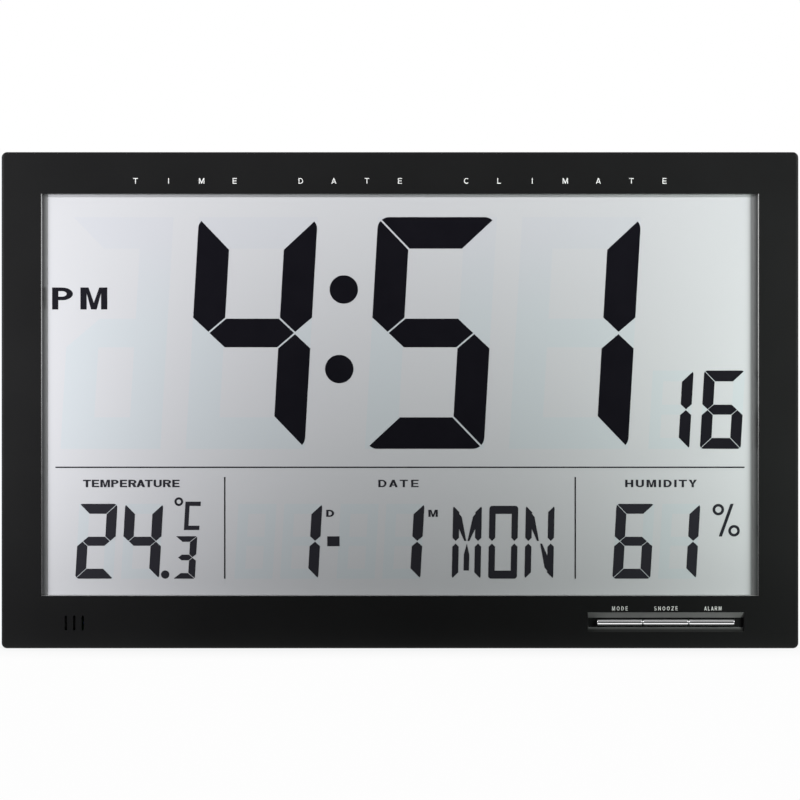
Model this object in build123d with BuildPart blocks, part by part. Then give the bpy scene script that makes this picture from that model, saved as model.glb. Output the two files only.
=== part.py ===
from build123d import *
import os
from math import radians, sin, tan

# A wall clock with a jumbo liquid-crystal display. Millimetres, +Z up, the display faces -Y.
# The origin is the middle of the back face, on the wall. Heights are distances from the wall.

# Display layout: time row
digit_width = 65.7
digit_height = 128.1
digit_stroke = 17.7
digit_bar = 17.4
digit_middle_bar = 15.8
digit_round = 6.5
digit_slit = 0.9
digit_slant = 0.0571
digit_gap = 14.0
colon_gap = 33.4
colon_radius = 7.85
colon_low = 44.1
colon_high = 88.1
lead_room = 76.2
seconds_gap = 11.3
seconds_width = 22.6
seconds_height = 43.3
seconds_stroke = 6.1
seconds_bar = 6.0
seconds_middle_bar = 5.5
seconds_digit_gap = 5.85
right_margin = 6.35
top_margin = 12.5

# Display layout: row of fields below the time
small_width = 21
small_height = 41.4
small_stroke = 5.7
small_bar = 5.5
small_middle_bar = 5
small_round = 2.0
small_slit = 0.32
small_gap = 4.3
point_radius = 2.3
point_gap = 3.4
tiny_gap = 4.4
tiny_width = 12
tiny_height = 23.5
tiny_stroke = 3.8
tiny_bar = 3.1
letter_width = 15.9
letter_height = 40.3
letter_stroke = 3.5
letter_bar = 4.5
letter_gap = 4.2
letter_round = 1.6
letter_slant = 0.02
letter_slit = 0.7
wedge_width = 4.9
wedge_drop = 6.2
wedge_knee = 7.4
needle_width = 3
needle_shoulder = 6.8
ring_radius = 3.2
ring_stroke = 1.5
degree_radius = 2.4
degree_stroke = 1.2
degree_offset = 3.15
line_width = 0.72
field_margin = 15.15
climate_margin = 14.1
humidity_margin = 20.5
line_margin = 4.2
line_drop = 10.2
line_gap = 5.4
day_offset = 30.6
month_gap = 35.5
dash_offset = 8.5
dash_width = 6.8
weekday_gap = 17.4
weekday_margin = 12.2
percent_gap = 12.3
percent_width = 8.7
percent_drop = 11.7
slash_width = 1.8
slash_lean = 1.1
scale_width = 8.5
scale_offset = 0.4
scale_gap = 2.2
label_room = 20.2
bottom_margin = 9.0

# Case
side_bar = 22
top_bar = 23
bottom_bar = 29
case_corner = 3
inner_corner = 1
front_edge_round = 1.5
back_edge_round = 1
wall = 2.5
seam_height = 8
back_inset = 3.5
tongue_depth = 5
tongue_wall = 2
fit_gap = 0.2
reveal_depth = 5
window_edge_round = 1.5
side_slope = 3.3
end_slope = 0.3

# Display layers
film_thickness = 0.2
glass_thickness = 1.1
seal_thickness = 0.1
image_thickness = 0.1
seal_width = 2
seat_overlap = 4
contact_ledge = 3
lcd_gap = 0.3
nest_wall = 1.5
frame_thickness = 2.4
frame_border = 18
bar_width = 12
bar_pitch = 100
ear_reach = 5.5
ear_radius = 4.5
side_ear_spread = 130
end_ear_spread = 140

# Key row, vent and climate sensor
key_names = ["mode", "snooze", "alarm"]
key_width = 25.1
key_gap = 0.3
key_height = 3.4
key_sunk = 0.8
key_clearance = 0.25
key_end_round = 0.5
key_from_side = 73.2
key_rise = 14.3
key_travel = 0.8
flange_height = 7
flange_thickness = 1.2
stop_gap = 0.3
stem_radius = 1.6
stem_length = 1.4
trough_depth = 3.8
trough_floor_wall = 1.8
trough_end = 5.3
trough_end_slope = 0.5
trough_above = 5.6
trough_below = 5.3
floor_above = 2.1
floor_below = 2.7
switch_size = 6
switch_height = 3.6
switch_skin = 0.6
plunger_radius = 1.75
plunger_show = 1.5
plunger_clearance = 0.1
vent_count = 3
vent_pitch = 4.64
vent_width = 1.3
vent_length = 8.2
vent_from_side = 40.2
vent_rise = 14.0

# Fasteners
pilot_clearance = 0.05
hole_clearance = 0.25
case_screw_radius = 1.4
case_screw_length = 12
case_head_radius = 2.8
case_head_height = 2.2
screw_inset_x = 8.5
screw_inset_z = 8.0
post_height = 12
post_floor = 2
post_wall = 1.5
well_radius = 4
boss_radius = 4
frame_screw_radius = 1.3
frame_screw_length = 6
frame_head_radius = 2.5
frame_head_height = 1.6
frame_boss_radius = 3.5
board_screw_radius = 1.1
board_screw_length = 4
board_head_radius = 2.2
board_head_height = 1.4
board_boss_radius = 2.8
pilot_spare = 0.5
drive_width = 0.7
drive_length = 3.2
drive_depth = 1.0

# Boards
board_thickness = 1.6
pillar_height = 3.3
board_margin = 6
main_board_height = 70
main_board_gap = 3
receiver_board_height = 30
receiver_drop = 40
key_board_height = 14
key_boss_reach = 3.6
sensor_board_width = 34
sensor_board_height = 12
sensor_standoff = 3.3
sensor_boss_spread = 26
chip_radius = 9
chip_height = 1.6
chip_edge = 1.2
chip_rise = 9
capacitor_radius = 3
capacitor_height = 7
capacitor_gap = 3
capacitor_offset = 22.5
capacitor_rise = 18
crystal_size = (8, 3.2, 2.4)
crystal_round = 1.1
crystal_offset = 22.5
receiver_chip_size = (6, 8, 1.4)
humidity_sensor_size = (9, 6, 1.8)
thermistor_radius = 1.3
thermistor_height = 2.6
thermistor_edge = 0.8
connector_size = (42, 5, 2.8)
connector_inset = 2
flex_width = 40
flex_thickness = 0.2
flex_bend = 0.8
flex_clearance = 0.7
flex_grip = 2.4
flex_behind = 1.3

# Antenna and sounder
rod_radius = 5
rod_length = 112
rod_gap = 0.9
rod_drop = 16.5
coil_length = 40
coil_wall = 1.9
coil_clearance = 0.1
clip_width = 8
clip_wall = 2
clip_mouth = 3.5
sounder_x = 100
sounder_rise = 20
sounder_radius = 13.5
sounder_thickness = 0.3
sounder_seat = 1.5
sounder_lift = 2
sounder_lip = 1.3
sounder_gap = 0.2
ceramic_radius = 9
ceramic_thickness = 0.2
sound_hole_radius = 1
sound_hole_circle = 6

# Battery compartment
cell_radius = 7.15
cell_body = 49.2
nub_radius = 2.6
nub_length = 1.3
cell_gap = 1.0
cell_clearance = 0.6
contact_thickness = 0.4
contact_width = 10
contact_height = 11
dimple_height = 0.6
dimple_radius = 2.2
leaf_room = 5
leaf_width = 7
tab_width = 3
tab_reach = 3
tab_clearance = 0.2
well_wall = 1.6
well_rise = 77
well_gap = 3
ledge = 3
flange_border = 2.6
door_flange = 2.1
door_thickness = 2.1
door_recess = 0.4
door_gap = 0.3
door_seat_gap = 0.1
hinge_gap = 0.25
door_pin_radius = 0.8
door_pin_length = 1.5
pin_clearance = 0.05
latch_width = 14
latch_slit = 0.8
latch_length = 8
thumb_radius = 7
thumb_depth = 1.6

# Fold-out feet
foot_width = 40
foot_length = 46
foot_thickness = 4
foot_recess = 0.8
foot_axis_height = 5
foot_axis_rise = 13
foot_from_side = 70
foot_side_gap = 0.5
foot_tip_gap = 0.6
foot_floor_gap = 0.5
foot_drop = 5.6
foot_skin = 1.6
foot_rib = 2.4
foot_corner = 4
foot_pin_radius = 1.5
foot_pin_length = 2
pocket_side_wall = 2.5
pocket_wall = 1.8
finger_radius = 9

# Wall hanging
keyhole_spacing = 200
keyhole_from_top = 42
keyhole_entry_radius = 4.5
keyhole_slot_radius = 2.3
keyhole_rise = 9
keyhole_pocket_depth = 5.5
keyhole_pocket_margin = 1.5
keyhole_wall = 1.5
rib_width = 1.5
rib_height = 3

# Wires
lead_radius = 0.6
lead_sides = 8
lead_bend = 4
bend_share = 0.45
lead_pitch = 6
lead_drop = 4
low_lead_drop = 6
sensor_lead_drop = 2

# Sizes that follow
# The wider of the two display rows sets the width of the sight area
time_row = (lead_room + 3 * digit_width + colon_gap + digit_gap + seconds_gap
            + 2 * seconds_width + seconds_digit_gap + right_margin)
small_pitch = small_width + small_gap
letter_pitch = letter_width + letter_gap
field_width = (field_margin + small_pitch + small_width + point_gap + tiny_gap + degree_offset
               + degree_radius + scale_offset + scale_width + climate_margin)
date_room = (day_offset + 2 * small_width + month_gap + weekday_gap + 2 * letter_pitch + letter_width
             + weekday_margin)
field_row = 2 * field_width + date_room
sight_width = max(time_row, field_row)
sight_height = top_margin + digit_height + line_drop + label_room + small_height + bottom_margin
window_width = sight_width + 2 * side_slope
window_height = sight_height + 2 * end_slope
window_rise = (bottom_bar - top_bar) / 2
case_width = window_width + 2 * side_bar
case_height = window_height + top_bar + bottom_bar
inner_width = case_width - 2 * wall
inner_height = case_height - 2 * wall
sight_left = -sight_width / 2
sight_right = sight_width / 2
sight_top = window_rise + sight_height / 2
sight_bottom = window_rise - sight_height / 2

lcd_width = sight_width + 2 * seat_overlap
lcd_height = sight_height + 2 * seat_overlap
lcd_bottom = window_rise - lcd_height / 2
nest_width = lcd_width + 2 * lcd_gap + 2 * nest_wall
nest_height = lcd_height + 2 * lcd_gap + 2 * nest_wall
nest_bottom = window_rise - nest_height / 2

# Depth, from the wall to the front: door, cells, well floor, display layers and the sunk window
cell_axis_height = door_recess + door_thickness + cell_clearance + cell_radius
well_floor = cell_axis_height + cell_radius + cell_clearance / 2
frame_front = well_floor + well_wall + well_gap
reflector_front = frame_front + film_thickness
rear_glass_front = reflector_front + glass_thickness
front_glass_back = rear_glass_front + seal_thickness
front_glass_front = front_glass_back + glass_thickness
lcd_front = front_glass_front + film_thickness
case_depth = lcd_front + reveal_depth
front_wall_back = case_depth - wall
frame_back = frame_front - frame_thickness
board_front = frame_back - pillar_height
board_back = board_front - board_thickness

case_left = -case_width / 2
case_right = case_width / 2
case_top = case_height / 2
case_bottom = -case_height / 2
key_row_x = case_right - key_from_side
key_row_z = case_bottom + key_rise
key_pitch = key_width + key_gap
key_row_width = len(key_names) * key_pitch - key_gap
vent_x = case_left + vent_from_side
vent_z = case_bottom + vent_rise

# Heights up the case: the main board above the battery well, the antenna rod below the keyholes
cell_length = cell_body + nub_length
well_length = contact_thickness + dimple_height + cell_length + leaf_room
well_height = 4 * cell_radius + cell_gap + 2 * cell_clearance
well_z = case_bottom + well_rise
well_top = well_z + well_height / 2 + well_wall
main_board_low = well_top + main_board_gap
main_board_high = main_board_low + main_board_height
main_board_z = (main_board_low + main_board_high) / 2
keyhole_z = case_top - keyhole_from_top
keyhole_room = keyhole_entry_radius + keyhole_pocket_margin
coil_bore = rod_radius + coil_clearance
coil_radius = coil_bore + coil_wall
rod_height = frame_back - rod_gap - coil_radius
rod_z = keyhole_z - keyhole_room - keyhole_wall - rod_drop - coil_radius
receiver_z = rod_z - receiver_drop
sounder_z = well_z + sounder_rise


def level(height):
    """Plane parallel to the wall, facing the viewer: local x is +X and local y is +Z."""
    return Plane.XZ.offset(height)


def place(x, z, height):
    """Point at a distance from the wall."""
    return (x, -height, z)


def keep(piece, name):
    """Label a finished piece and write it out."""
    piece.part.label = name
    export_step(piece.part, f"parts/{name}.step")


os.makedirs("parts", exist_ok=True)

# Screw places
screw_x = inner_width / 2 - screw_inset_x
screw_z = inner_height / 2 - screw_inset_z
case_screw_spots = [(-screw_x, screw_z), (0, screw_z), (screw_x, screw_z),
                    (-screw_x, -screw_z), (0, -screw_z), (screw_x, -screw_z)]
ear_x = nest_width / 2 + ear_reach
ear_top = window_rise + nest_height / 2 + ear_reach
ear_bottom = nest_bottom - ear_reach
side_ears = [(side * ear_x, window_rise + end * side_ear_spread / 2)
             for side in (-1, 1) for end in (-1, 1)]
end_ears = [(side * end_ear_spread / 2, z) for side in (-1, 1) for z in (ear_top, ear_bottom)]
bar_spots = [-1.5 * bar_pitch, -0.5 * bar_pitch, 0.5 * bar_pitch, 1.5 * bar_pitch]
main_board_x = (bar_spots[0] + bar_spots[1]) / 2
main_pillars = [(x, z) for x in bar_spots[:2]
                for z in (main_board_low + board_margin, main_board_high - board_margin)]
receiver_pillars = [(bar_spots[3], receiver_z + end * (receiver_board_height / 2 - board_margin))
                    for end in (-1, 1)]
trough_width = key_row_width + 2 * trough_end
key_boss_x = trough_width / 2 + key_boss_reach
key_bosses = [(key_row_x - key_boss_x, key_row_z), (key_row_x + key_boss_x, key_row_z)]
sensor_bosses = [(vent_x - sensor_boss_spread / 2, vent_z), (vent_x + sensor_boss_spread / 2, vent_z)]

# Heights of the key row, from the trough's floor back to the switches
trough_floor = case_depth - trough_depth
floor_under = trough_floor - trough_floor_wall
key_crown = case_depth - key_sunk
flange_front = floor_under - stop_gap
flange_back = flange_front - flange_thickness
stem_back = flange_back - stem_length
switch_front = stem_back - plunger_show
key_board_front = switch_front - switch_height
key_board_back = key_board_front - board_thickness
sensor_board_front = front_wall_back - sensor_standoff
sensor_board_back = sensor_board_front - board_thickness

# The ribbon leaves the display at its lower edge, through a notch in nest and frame
flex_x = main_board_x
flex_notch = flex_width + 2 * flex_clearance
flex_drop_z = nest_bottom + nest_wall / 2

# Front shell
with BuildPart() as front_bezel:
    with BuildSketch(level(seam_height)):
        RectangleRounded(case_width, case_height, case_corner)
    extrude(amount=case_depth - seam_height)
    fillet(front_bezel.faces().sort_by(Axis.Y)[0].edges(), front_edge_round)
    with BuildSketch(level(seam_height)):
        RectangleRounded(inner_width, inner_height, inner_corner)
    extrude(amount=front_wall_back - seam_height, mode=Mode.SUBTRACT)
    # Nest that locates the display, then the seat and the sloping reveal of the window
    with BuildSketch(level(frame_front)):
        with Locations((0, window_rise)):
            Rectangle(nest_width, nest_height)
    extrude(amount=front_wall_back - frame_front)
    with BuildSketch(level(frame_front)):
        with Locations((0, window_rise)):
            Rectangle(lcd_width + 2 * lcd_gap, lcd_height + 2 * lcd_gap)
        with Locations((flex_x, nest_bottom)):
            Rectangle(flex_notch, 2 * nest_wall)
    extrude(amount=lcd_front - frame_front, mode=Mode.SUBTRACT)
    with BuildSketch(level(lcd_front)):
        with Locations((0, window_rise)):
            Rectangle(sight_width, sight_height)
    with BuildSketch(level(case_depth)):
        with Locations((0, window_rise)):
            Rectangle(window_width, window_height)
    loft(ruled=True, mode=Mode.SUBTRACT)
    # The window's two upright edges are rounded over: a sliver comes off each sharp corner
    for side in (-1, 1):
        along_face = Vector(side, 0)
        down_wall = Vector(-side * side_slope, reveal_depth).normalized()
        into_bar = (along_face + down_wall).normalized()
        half_corner = radians(along_face.get_angle(down_wall) / 2)
        round_reach = window_edge_round / tan(half_corner)
        round_drop = window_edge_round / sin(half_corner) - window_edge_round
        sharp = Vector(side * window_width / 2, -case_depth)
        with BuildSketch(Plane.XY.offset(window_rise - window_height / 2)):
            with BuildLine():
                Line(sharp + along_face * round_reach, sharp)
                Line(sharp, sharp + down_wall * round_reach)
                ThreePointArc(sharp + down_wall * round_reach, sharp + into_bar * round_drop,
                              sharp + along_face * round_reach)
            make_face()
        extrude(amount=window_height, mode=Mode.SUBTRACT)
    # Key trough: a thickened pan, a tapered recess and one slot for the row of keys
    trough_centre = (key_row_x, key_row_z + (trough_above - trough_below) / 2)
    floor_centre = (key_row_x, key_row_z + (floor_above - floor_below) / 2)
    with BuildSketch(level(floor_under)):
        with Locations(trough_centre):
            Rectangle(trough_width, trough_above + trough_below)
    extrude(amount=front_wall_back - floor_under)
    with BuildSketch(level(trough_floor)):
        with Locations(floor_centre):
            Rectangle(trough_width - 2 * trough_end_slope, floor_above + floor_below)
    with BuildSketch(level(case_depth)):
        with Locations(trough_centre):
            Rectangle(trough_width, trough_above + trough_below)
    loft(ruled=True, mode=Mode.SUBTRACT)
    with BuildSketch(level(floor_under)):
        with Locations((key_row_x, key_row_z)):
            Rectangle(key_row_width + 2 * key_clearance, key_height + 2 * key_clearance)
    extrude(amount=trough_floor_wall, mode=Mode.SUBTRACT)
    # Vent slots in front of the climate sensor
    with BuildSketch(level(front_wall_back)):
        with Locations((vent_x, vent_z)):
            with GridLocations(vent_pitch, 0, vent_count, 1):
                SlotOverall(vent_length, vent_width, rotation=90)
    extrude(amount=wall, mode=Mode.SUBTRACT)
    # Screw bosses on the inside of the front wall
    with BuildSketch(level(post_height)):
        with Locations(*case_screw_spots):
            Circle(boss_radius)
    extrude(amount=front_wall_back - post_height)
    with BuildSketch(level(frame_front)):
        with Locations(*side_ears, *end_ears):
            Circle(frame_boss_radius)
    extrude(amount=front_wall_back - frame_front)
    with BuildSketch(level(key_board_front)):
        with Locations(*key_bosses):
            Circle(board_boss_radius)
    extrude(amount=front_wall_back - key_board_front)
    with BuildSketch(level(sensor_board_front)):
        with Locations(*sensor_bosses):
            Circle(board_boss_radius)
    extrude(amount=front_wall_back - sensor_board_front)
    # Pilot bores for the self-tapping screws
    with BuildSketch(level(post_height)):
        with Locations(*case_screw_spots):
            Circle(case_screw_radius + pilot_clearance)
    extrude(amount=case_screw_length - post_floor + pilot_spare, mode=Mode.SUBTRACT)
    with BuildSketch(level(frame_front)):
        with Locations(*side_ears, *end_ears):
            Circle(frame_screw_radius + pilot_clearance)
    extrude(amount=frame_screw_length - frame_thickness + pilot_spare, mode=Mode.SUBTRACT)
    with BuildSketch(level(key_board_front)):
        with Locations(*key_bosses):
            Circle(board_screw_radius + pilot_clearance)
    extrude(amount=board_screw_length - board_thickness + pilot_spare, mode=Mode.SUBTRACT)
    with BuildSketch(level(sensor_board_front)):
        with Locations(*sensor_bosses):
            Circle(board_screw_radius + pilot_clearance)
    extrude(amount=board_screw_length - board_thickness + pilot_spare, mode=Mode.SUBTRACT)
keep(front_bezel, "front_bezel")

# Display layers, from the front film back to the reflector
with BuildPart() as front_polariser:
    with BuildSketch(level(front_glass_front)):
        with Locations((0, window_rise + contact_ledge / 2)):
            Rectangle(lcd_width, lcd_height - contact_ledge)
    extrude(amount=film_thickness)
keep(front_polariser, "front_polariser")

with BuildPart() as front_glass:
    with BuildSketch(level(front_glass_back)):
        with Locations((0, window_rise + contact_ledge / 2)):
            Rectangle(lcd_width, lcd_height - contact_ledge)
    extrude(amount=glass_thickness)
keep(front_glass, "front_glass")

with BuildPart() as lcd_seal:
    with BuildSketch(level(rear_glass_front)):
        with Locations((0, window_rise + contact_ledge / 2)):
            Rectangle(lcd_width, lcd_height - contact_ledge)
            Rectangle(lcd_width - 2 * seal_width, lcd_height - contact_ledge - seal_width / 2,
                      mode=Mode.SUBTRACT)
    extrude(amount=seal_thickness)
keep(lcd_seal, "lcd_seal")

with BuildPart() as rear_glass:
    with BuildSketch(level(reflector_front)):
        with Locations((0, window_rise)):
            Rectangle(lcd_width, lcd_height)
    extrude(amount=glass_thickness)
keep(rear_glass, "rear_glass")

with BuildPart() as reflector:
    with BuildSketch(level(frame_front)):
        with Locations((0, window_rise)):
            Rectangle(lcd_width, lcd_height)
    extrude(amount=film_thickness)
keep(reflector, "reflector")

# Segment shapes. A style is width, height, stroke, bar, middle bar, slit, corner and slant.
big_style = (digit_width, digit_height, digit_stroke, digit_bar, digit_middle_bar,
             digit_slit, digit_round, digit_slant)
seconds_style = (seconds_width, seconds_height, seconds_stroke, seconds_bar, seconds_middle_bar,
                 small_slit, small_round, digit_slant)
small_style = (small_width, small_height, small_stroke, small_bar, small_middle_bar,
               small_slit, small_round, digit_slant)
tiny_style = (tiny_width, tiny_height, tiny_stroke, tiny_bar, tiny_bar,
              small_slit, small_round / 2, digit_slant)
lit_segments = {"1": "bc", "2": "abged", "3": "abgcd", "4": "fgbc", "5": "afgcd", "6": "afgedc"}


def seven_segments(figure, style, left, base):
    """Lit segments of one figure: mitred bars, trimmed to a slanted outline with round corners."""
    width, height, stroke, bar, middle_bar, slit, corner, slant = style
    shift = slit / 2 ** 0.5
    middle = height / 2
    half_bar = middle_bar / 2
    top_bar_points = [(shift, height), (width - shift, height),
                      (width - stroke - shift, height - bar), (stroke + shift, height - bar)]
    upper_left = [(0, height - shift), (stroke, height - bar - shift),
                  (stroke, middle + half_bar + shift), (stroke / 2, middle + shift),
                  (0, middle + half_bar + shift)]
    across = [(stroke / 2 + shift, middle), (stroke + shift, middle + half_bar),
              (width - stroke - shift, middle + half_bar), (width - stroke / 2 - shift, middle),
              (width - stroke - shift, middle - half_bar), (stroke + shift, middle - half_bar)]
    points = {
        "a": top_bar_points,
        "b": [(width - x, z) for x, z in upper_left],
        "c": [(width - x, height - z) for x, z in upper_left],
        "d": [(x, height - z) for x, z in top_bar_points],
        "e": [(x, height - z) for x, z in upper_left],
        "f": upper_left,
        "g": across,
    }
    outline = [(0, 0), (width, 0), (width, height), (0, height)]
    with BuildSketch(level(lcd_front)) as figure_faces:
        for segment in lit_segments[figure]:
            Polygon(*[(left + x + z * slant, base + z) for x, z in points[segment]])
        with BuildSketch(mode=Mode.INTERSECT) as trim:
            Polygon(*[(left + x + z * slant, base + z) for x, z in outline])
            fillet(trim.vertices(), corner)
    return figure_faces.sketch


time_base = sight_top - top_margin - digit_height
small_base = sight_bottom + bottom_margin
hour_left = sight_left + lead_room + (sight_width - time_row) / 2
minute_left = hour_left + digit_width + colon_gap
unit_left = minute_left + digit_width + digit_gap
second_left = unit_left + digit_width + seconds_gap
colon_x = minute_left - colon_gap / 2

# Hour and minutes with the colon between them
with BuildPart() as time_segments:
    extrude(seven_segments("4", big_style, hour_left, time_base), amount=image_thickness)
    extrude(seven_segments("5", big_style, minute_left, time_base), amount=image_thickness)
    extrude(seven_segments("1", big_style, unit_left, time_base), amount=image_thickness)
    with BuildSketch(level(lcd_front)):
        for rise in (colon_low, colon_high):
            with Locations((colon_x + rise * digit_slant, time_base + rise)):
                Circle(colon_radius)
    extrude(amount=image_thickness)
keep(time_segments, "time_segments")

with BuildPart() as seconds_segments:
    extrude(seven_segments("1", seconds_style, second_left, time_base), amount=image_thickness)
    extrude(seven_segments("6", seconds_style, second_left + seconds_width + seconds_digit_gap,
                           time_base), amount=image_thickness)
keep(seconds_segments, "seconds_segments")

# Temperature: two figures, a point, a small decimal and the degree sign
temperature_left = sight_left + field_margin
point_x = temperature_left + small_pitch + small_width + point_gap
tiny_left = point_x + tiny_gap
degree_z = small_base + small_height + degree_radius / 2
degree_left = tiny_left + degree_offset
scale_bar = degree_stroke * 2
scale_height = small_height - tiny_height - scale_gap
scale_base = degree_z - scale_height
scale_left = degree_left + degree_radius + scale_offset
with BuildPart() as temperature_segments:
    extrude(seven_segments("2", small_style, temperature_left, small_base), amount=image_thickness)
    extrude(seven_segments("4", small_style, temperature_left + small_pitch, small_base),
            amount=image_thickness)
    extrude(seven_segments("3", tiny_style, tiny_left, small_base), amount=image_thickness)
    with BuildSketch(level(lcd_front)):
        with Locations((point_x, small_base + point_radius)):
            Circle(point_radius)
        with Locations((degree_left, degree_z)):
            Circle(degree_radius)
            Circle(degree_radius - degree_stroke, mode=Mode.SUBTRACT)
    extrude(amount=image_thickness)
    scale_letter = [(0, 0), (scale_width, 0), (scale_width, scale_bar),
                    (scale_bar, scale_bar), (scale_bar, scale_height - scale_bar),
                    (scale_width, scale_height - scale_bar),
                    (scale_width, scale_height), (0, scale_height)]
    with BuildSketch(level(lcd_front)):
        Polygon(*[(scale_left + x + z * digit_slant, scale_base + z) for x, z in scale_letter])
    extrude(amount=image_thickness)
keep(temperature_segments, "temperature_segments")

# Date: day and month around a dash
date_left = sight_left + field_width
day_left = date_left + day_offset + (sight_width - field_row) / 2
month_left = day_left + small_width + month_gap
dash_x = day_left + small_width + dash_offset
with BuildPart() as date_segments:
    extrude(seven_segments("1", small_style, day_left, small_base), amount=image_thickness)
    extrude(seven_segments("1", small_style, month_left, small_base), amount=image_thickness)
    with BuildSketch(level(lcd_front)):
        with Locations((dash_x, small_base + small_height / 2)):
            Rectangle(dash_width, small_bar)
    extrude(amount=image_thickness)
keep(date_segments, "date_segments")

# Weekday: three letters of a starburst display, as upright strokes and slim wedges
weekday_left = month_left + small_width + weekday_gap
letter_middle = letter_height / 2
shoulder = letter_middle + letter_slit + letter_stroke / 2
upright = [(0, letter_height), (letter_stroke, letter_height - letter_stroke),
           (letter_stroke, shoulder), (letter_stroke / 2, letter_middle + letter_slit), (0, shoulder)]
wedge = [(0, letter_height), (wedge_width, letter_height - wedge_drop),
         (letter_width / 2 - letter_slit / 2, letter_middle + letter_slit),
         (letter_width / 2 - 2 * letter_slit, letter_middle + letter_slit),
         (letter_stroke, letter_middle + wedge_knee)]
cap = [(0, letter_height), (letter_width, letter_height),
       (letter_width, letter_height - letter_bar), (0, letter_height - letter_bar)]
side = [(0, letter_height), (letter_stroke, letter_height),
        (letter_stroke, shoulder), (letter_stroke / 2, letter_middle + letter_slit), (0, shoulder)]
needle = [(letter_width / 2, letter_middle - letter_slit),
          (letter_width / 2 + needle_width / 2, letter_middle - needle_shoulder),
          (letter_width / 2 + needle_width / 2, letter_bar),
          (letter_width / 2 - needle_width / 2, letter_bar),
          (letter_width / 2 - needle_width / 2, letter_middle - needle_shoulder)]


def mirrored(points, across=False, over=False):
    """Stroke turned over left to right, top to bottom, or both."""
    return [(letter_width - x if across else x, letter_height - z if over else z) for x, z in points]


letter_cell = [(0, 0), (letter_width, 0), (letter_width, letter_height), (0, letter_height)]
letter_m = [upright, mirrored(upright, across=True), wedge, mirrored(wedge, across=True), needle,
            mirrored(upright, over=True), mirrored(upright, across=True, over=True)]
letter_o = [side, mirrored(side, across=True), cap,
            mirrored(side, over=True), mirrored(side, across=True, over=True), mirrored(cap, over=True)]
letter_n = [upright, wedge, mirrored(upright, across=True), mirrored(upright, over=True),
            mirrored(upright, across=True, over=True), mirrored(wedge, across=True, over=True)]
with BuildPart() as weekday_segments:
    for place_in_row, strokes in enumerate([letter_m, letter_o, letter_n]):
        left = weekday_left + place_in_row * letter_pitch
        with BuildSketch(level(lcd_front)) as letter_faces:
            for stroke in strokes:
                Polygon(*[(left + x + z * letter_slant, small_base + z) for x, z in stroke])
            with BuildSketch(mode=Mode.INTERSECT) as letter_trim:
                Polygon(*[(left + x + z * letter_slant, small_base + z) for x, z in letter_cell])
                fillet(letter_trim.vertices(), letter_round)
        extrude(letter_faces.sketch, amount=image_thickness)
keep(weekday_segments, "weekday_segments")

# Humidity: two figures and a percent sign made of two rings and a slash
humidity_left = sight_right - field_width + humidity_margin
percent_x = humidity_left + small_pitch + small_width + percent_gap
percent_top = small_base + small_height - ring_radius
with BuildPart() as humidity_segments:
    extrude(seven_segments("6", small_style, humidity_left, small_base), amount=image_thickness)
    extrude(seven_segments("1", small_style, humidity_left + small_pitch, small_base),
            amount=image_thickness)
    with BuildSketch(level(lcd_front)):
        with Locations((percent_x, percent_top), (percent_x + percent_width, percent_top - percent_drop)):
            Circle(ring_radius)
            Circle(ring_radius - ring_stroke, mode=Mode.SUBTRACT)
    extrude(amount=image_thickness)
    slash_low = percent_top - percent_drop - ring_radius
    slash_high = percent_top + ring_radius
    with BuildSketch(level(lcd_front)):
        Polygon((percent_x + slash_lean - slash_width / 2, slash_low),
                (percent_x + slash_lean + slash_width / 2, slash_low),
                (percent_x + percent_width - slash_lean + slash_width / 2, slash_high),
                (percent_x + percent_width - slash_lean - slash_width / 2, slash_high))
    extrude(amount=image_thickness)
keep(humidity_segments, "humidity_segments")

# Hairlines that part the time from the fields and the fields from each other
line_z = time_base - line_drop
field_line_height = line_z - line_gap - small_base
with BuildPart() as divider_lines:
    with BuildSketch(level(lcd_front)):
        with Locations((0, line_z)):
            Rectangle(sight_width - 2 * line_margin, line_width)
        for x in (sight_left + field_width, sight_right - field_width):
            with Locations((x, small_base + field_line_height / 2)):
                Rectangle(line_width, field_line_height)
    extrude(amount=image_thickness)
keep(divider_lines, "divider_lines")

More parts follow.
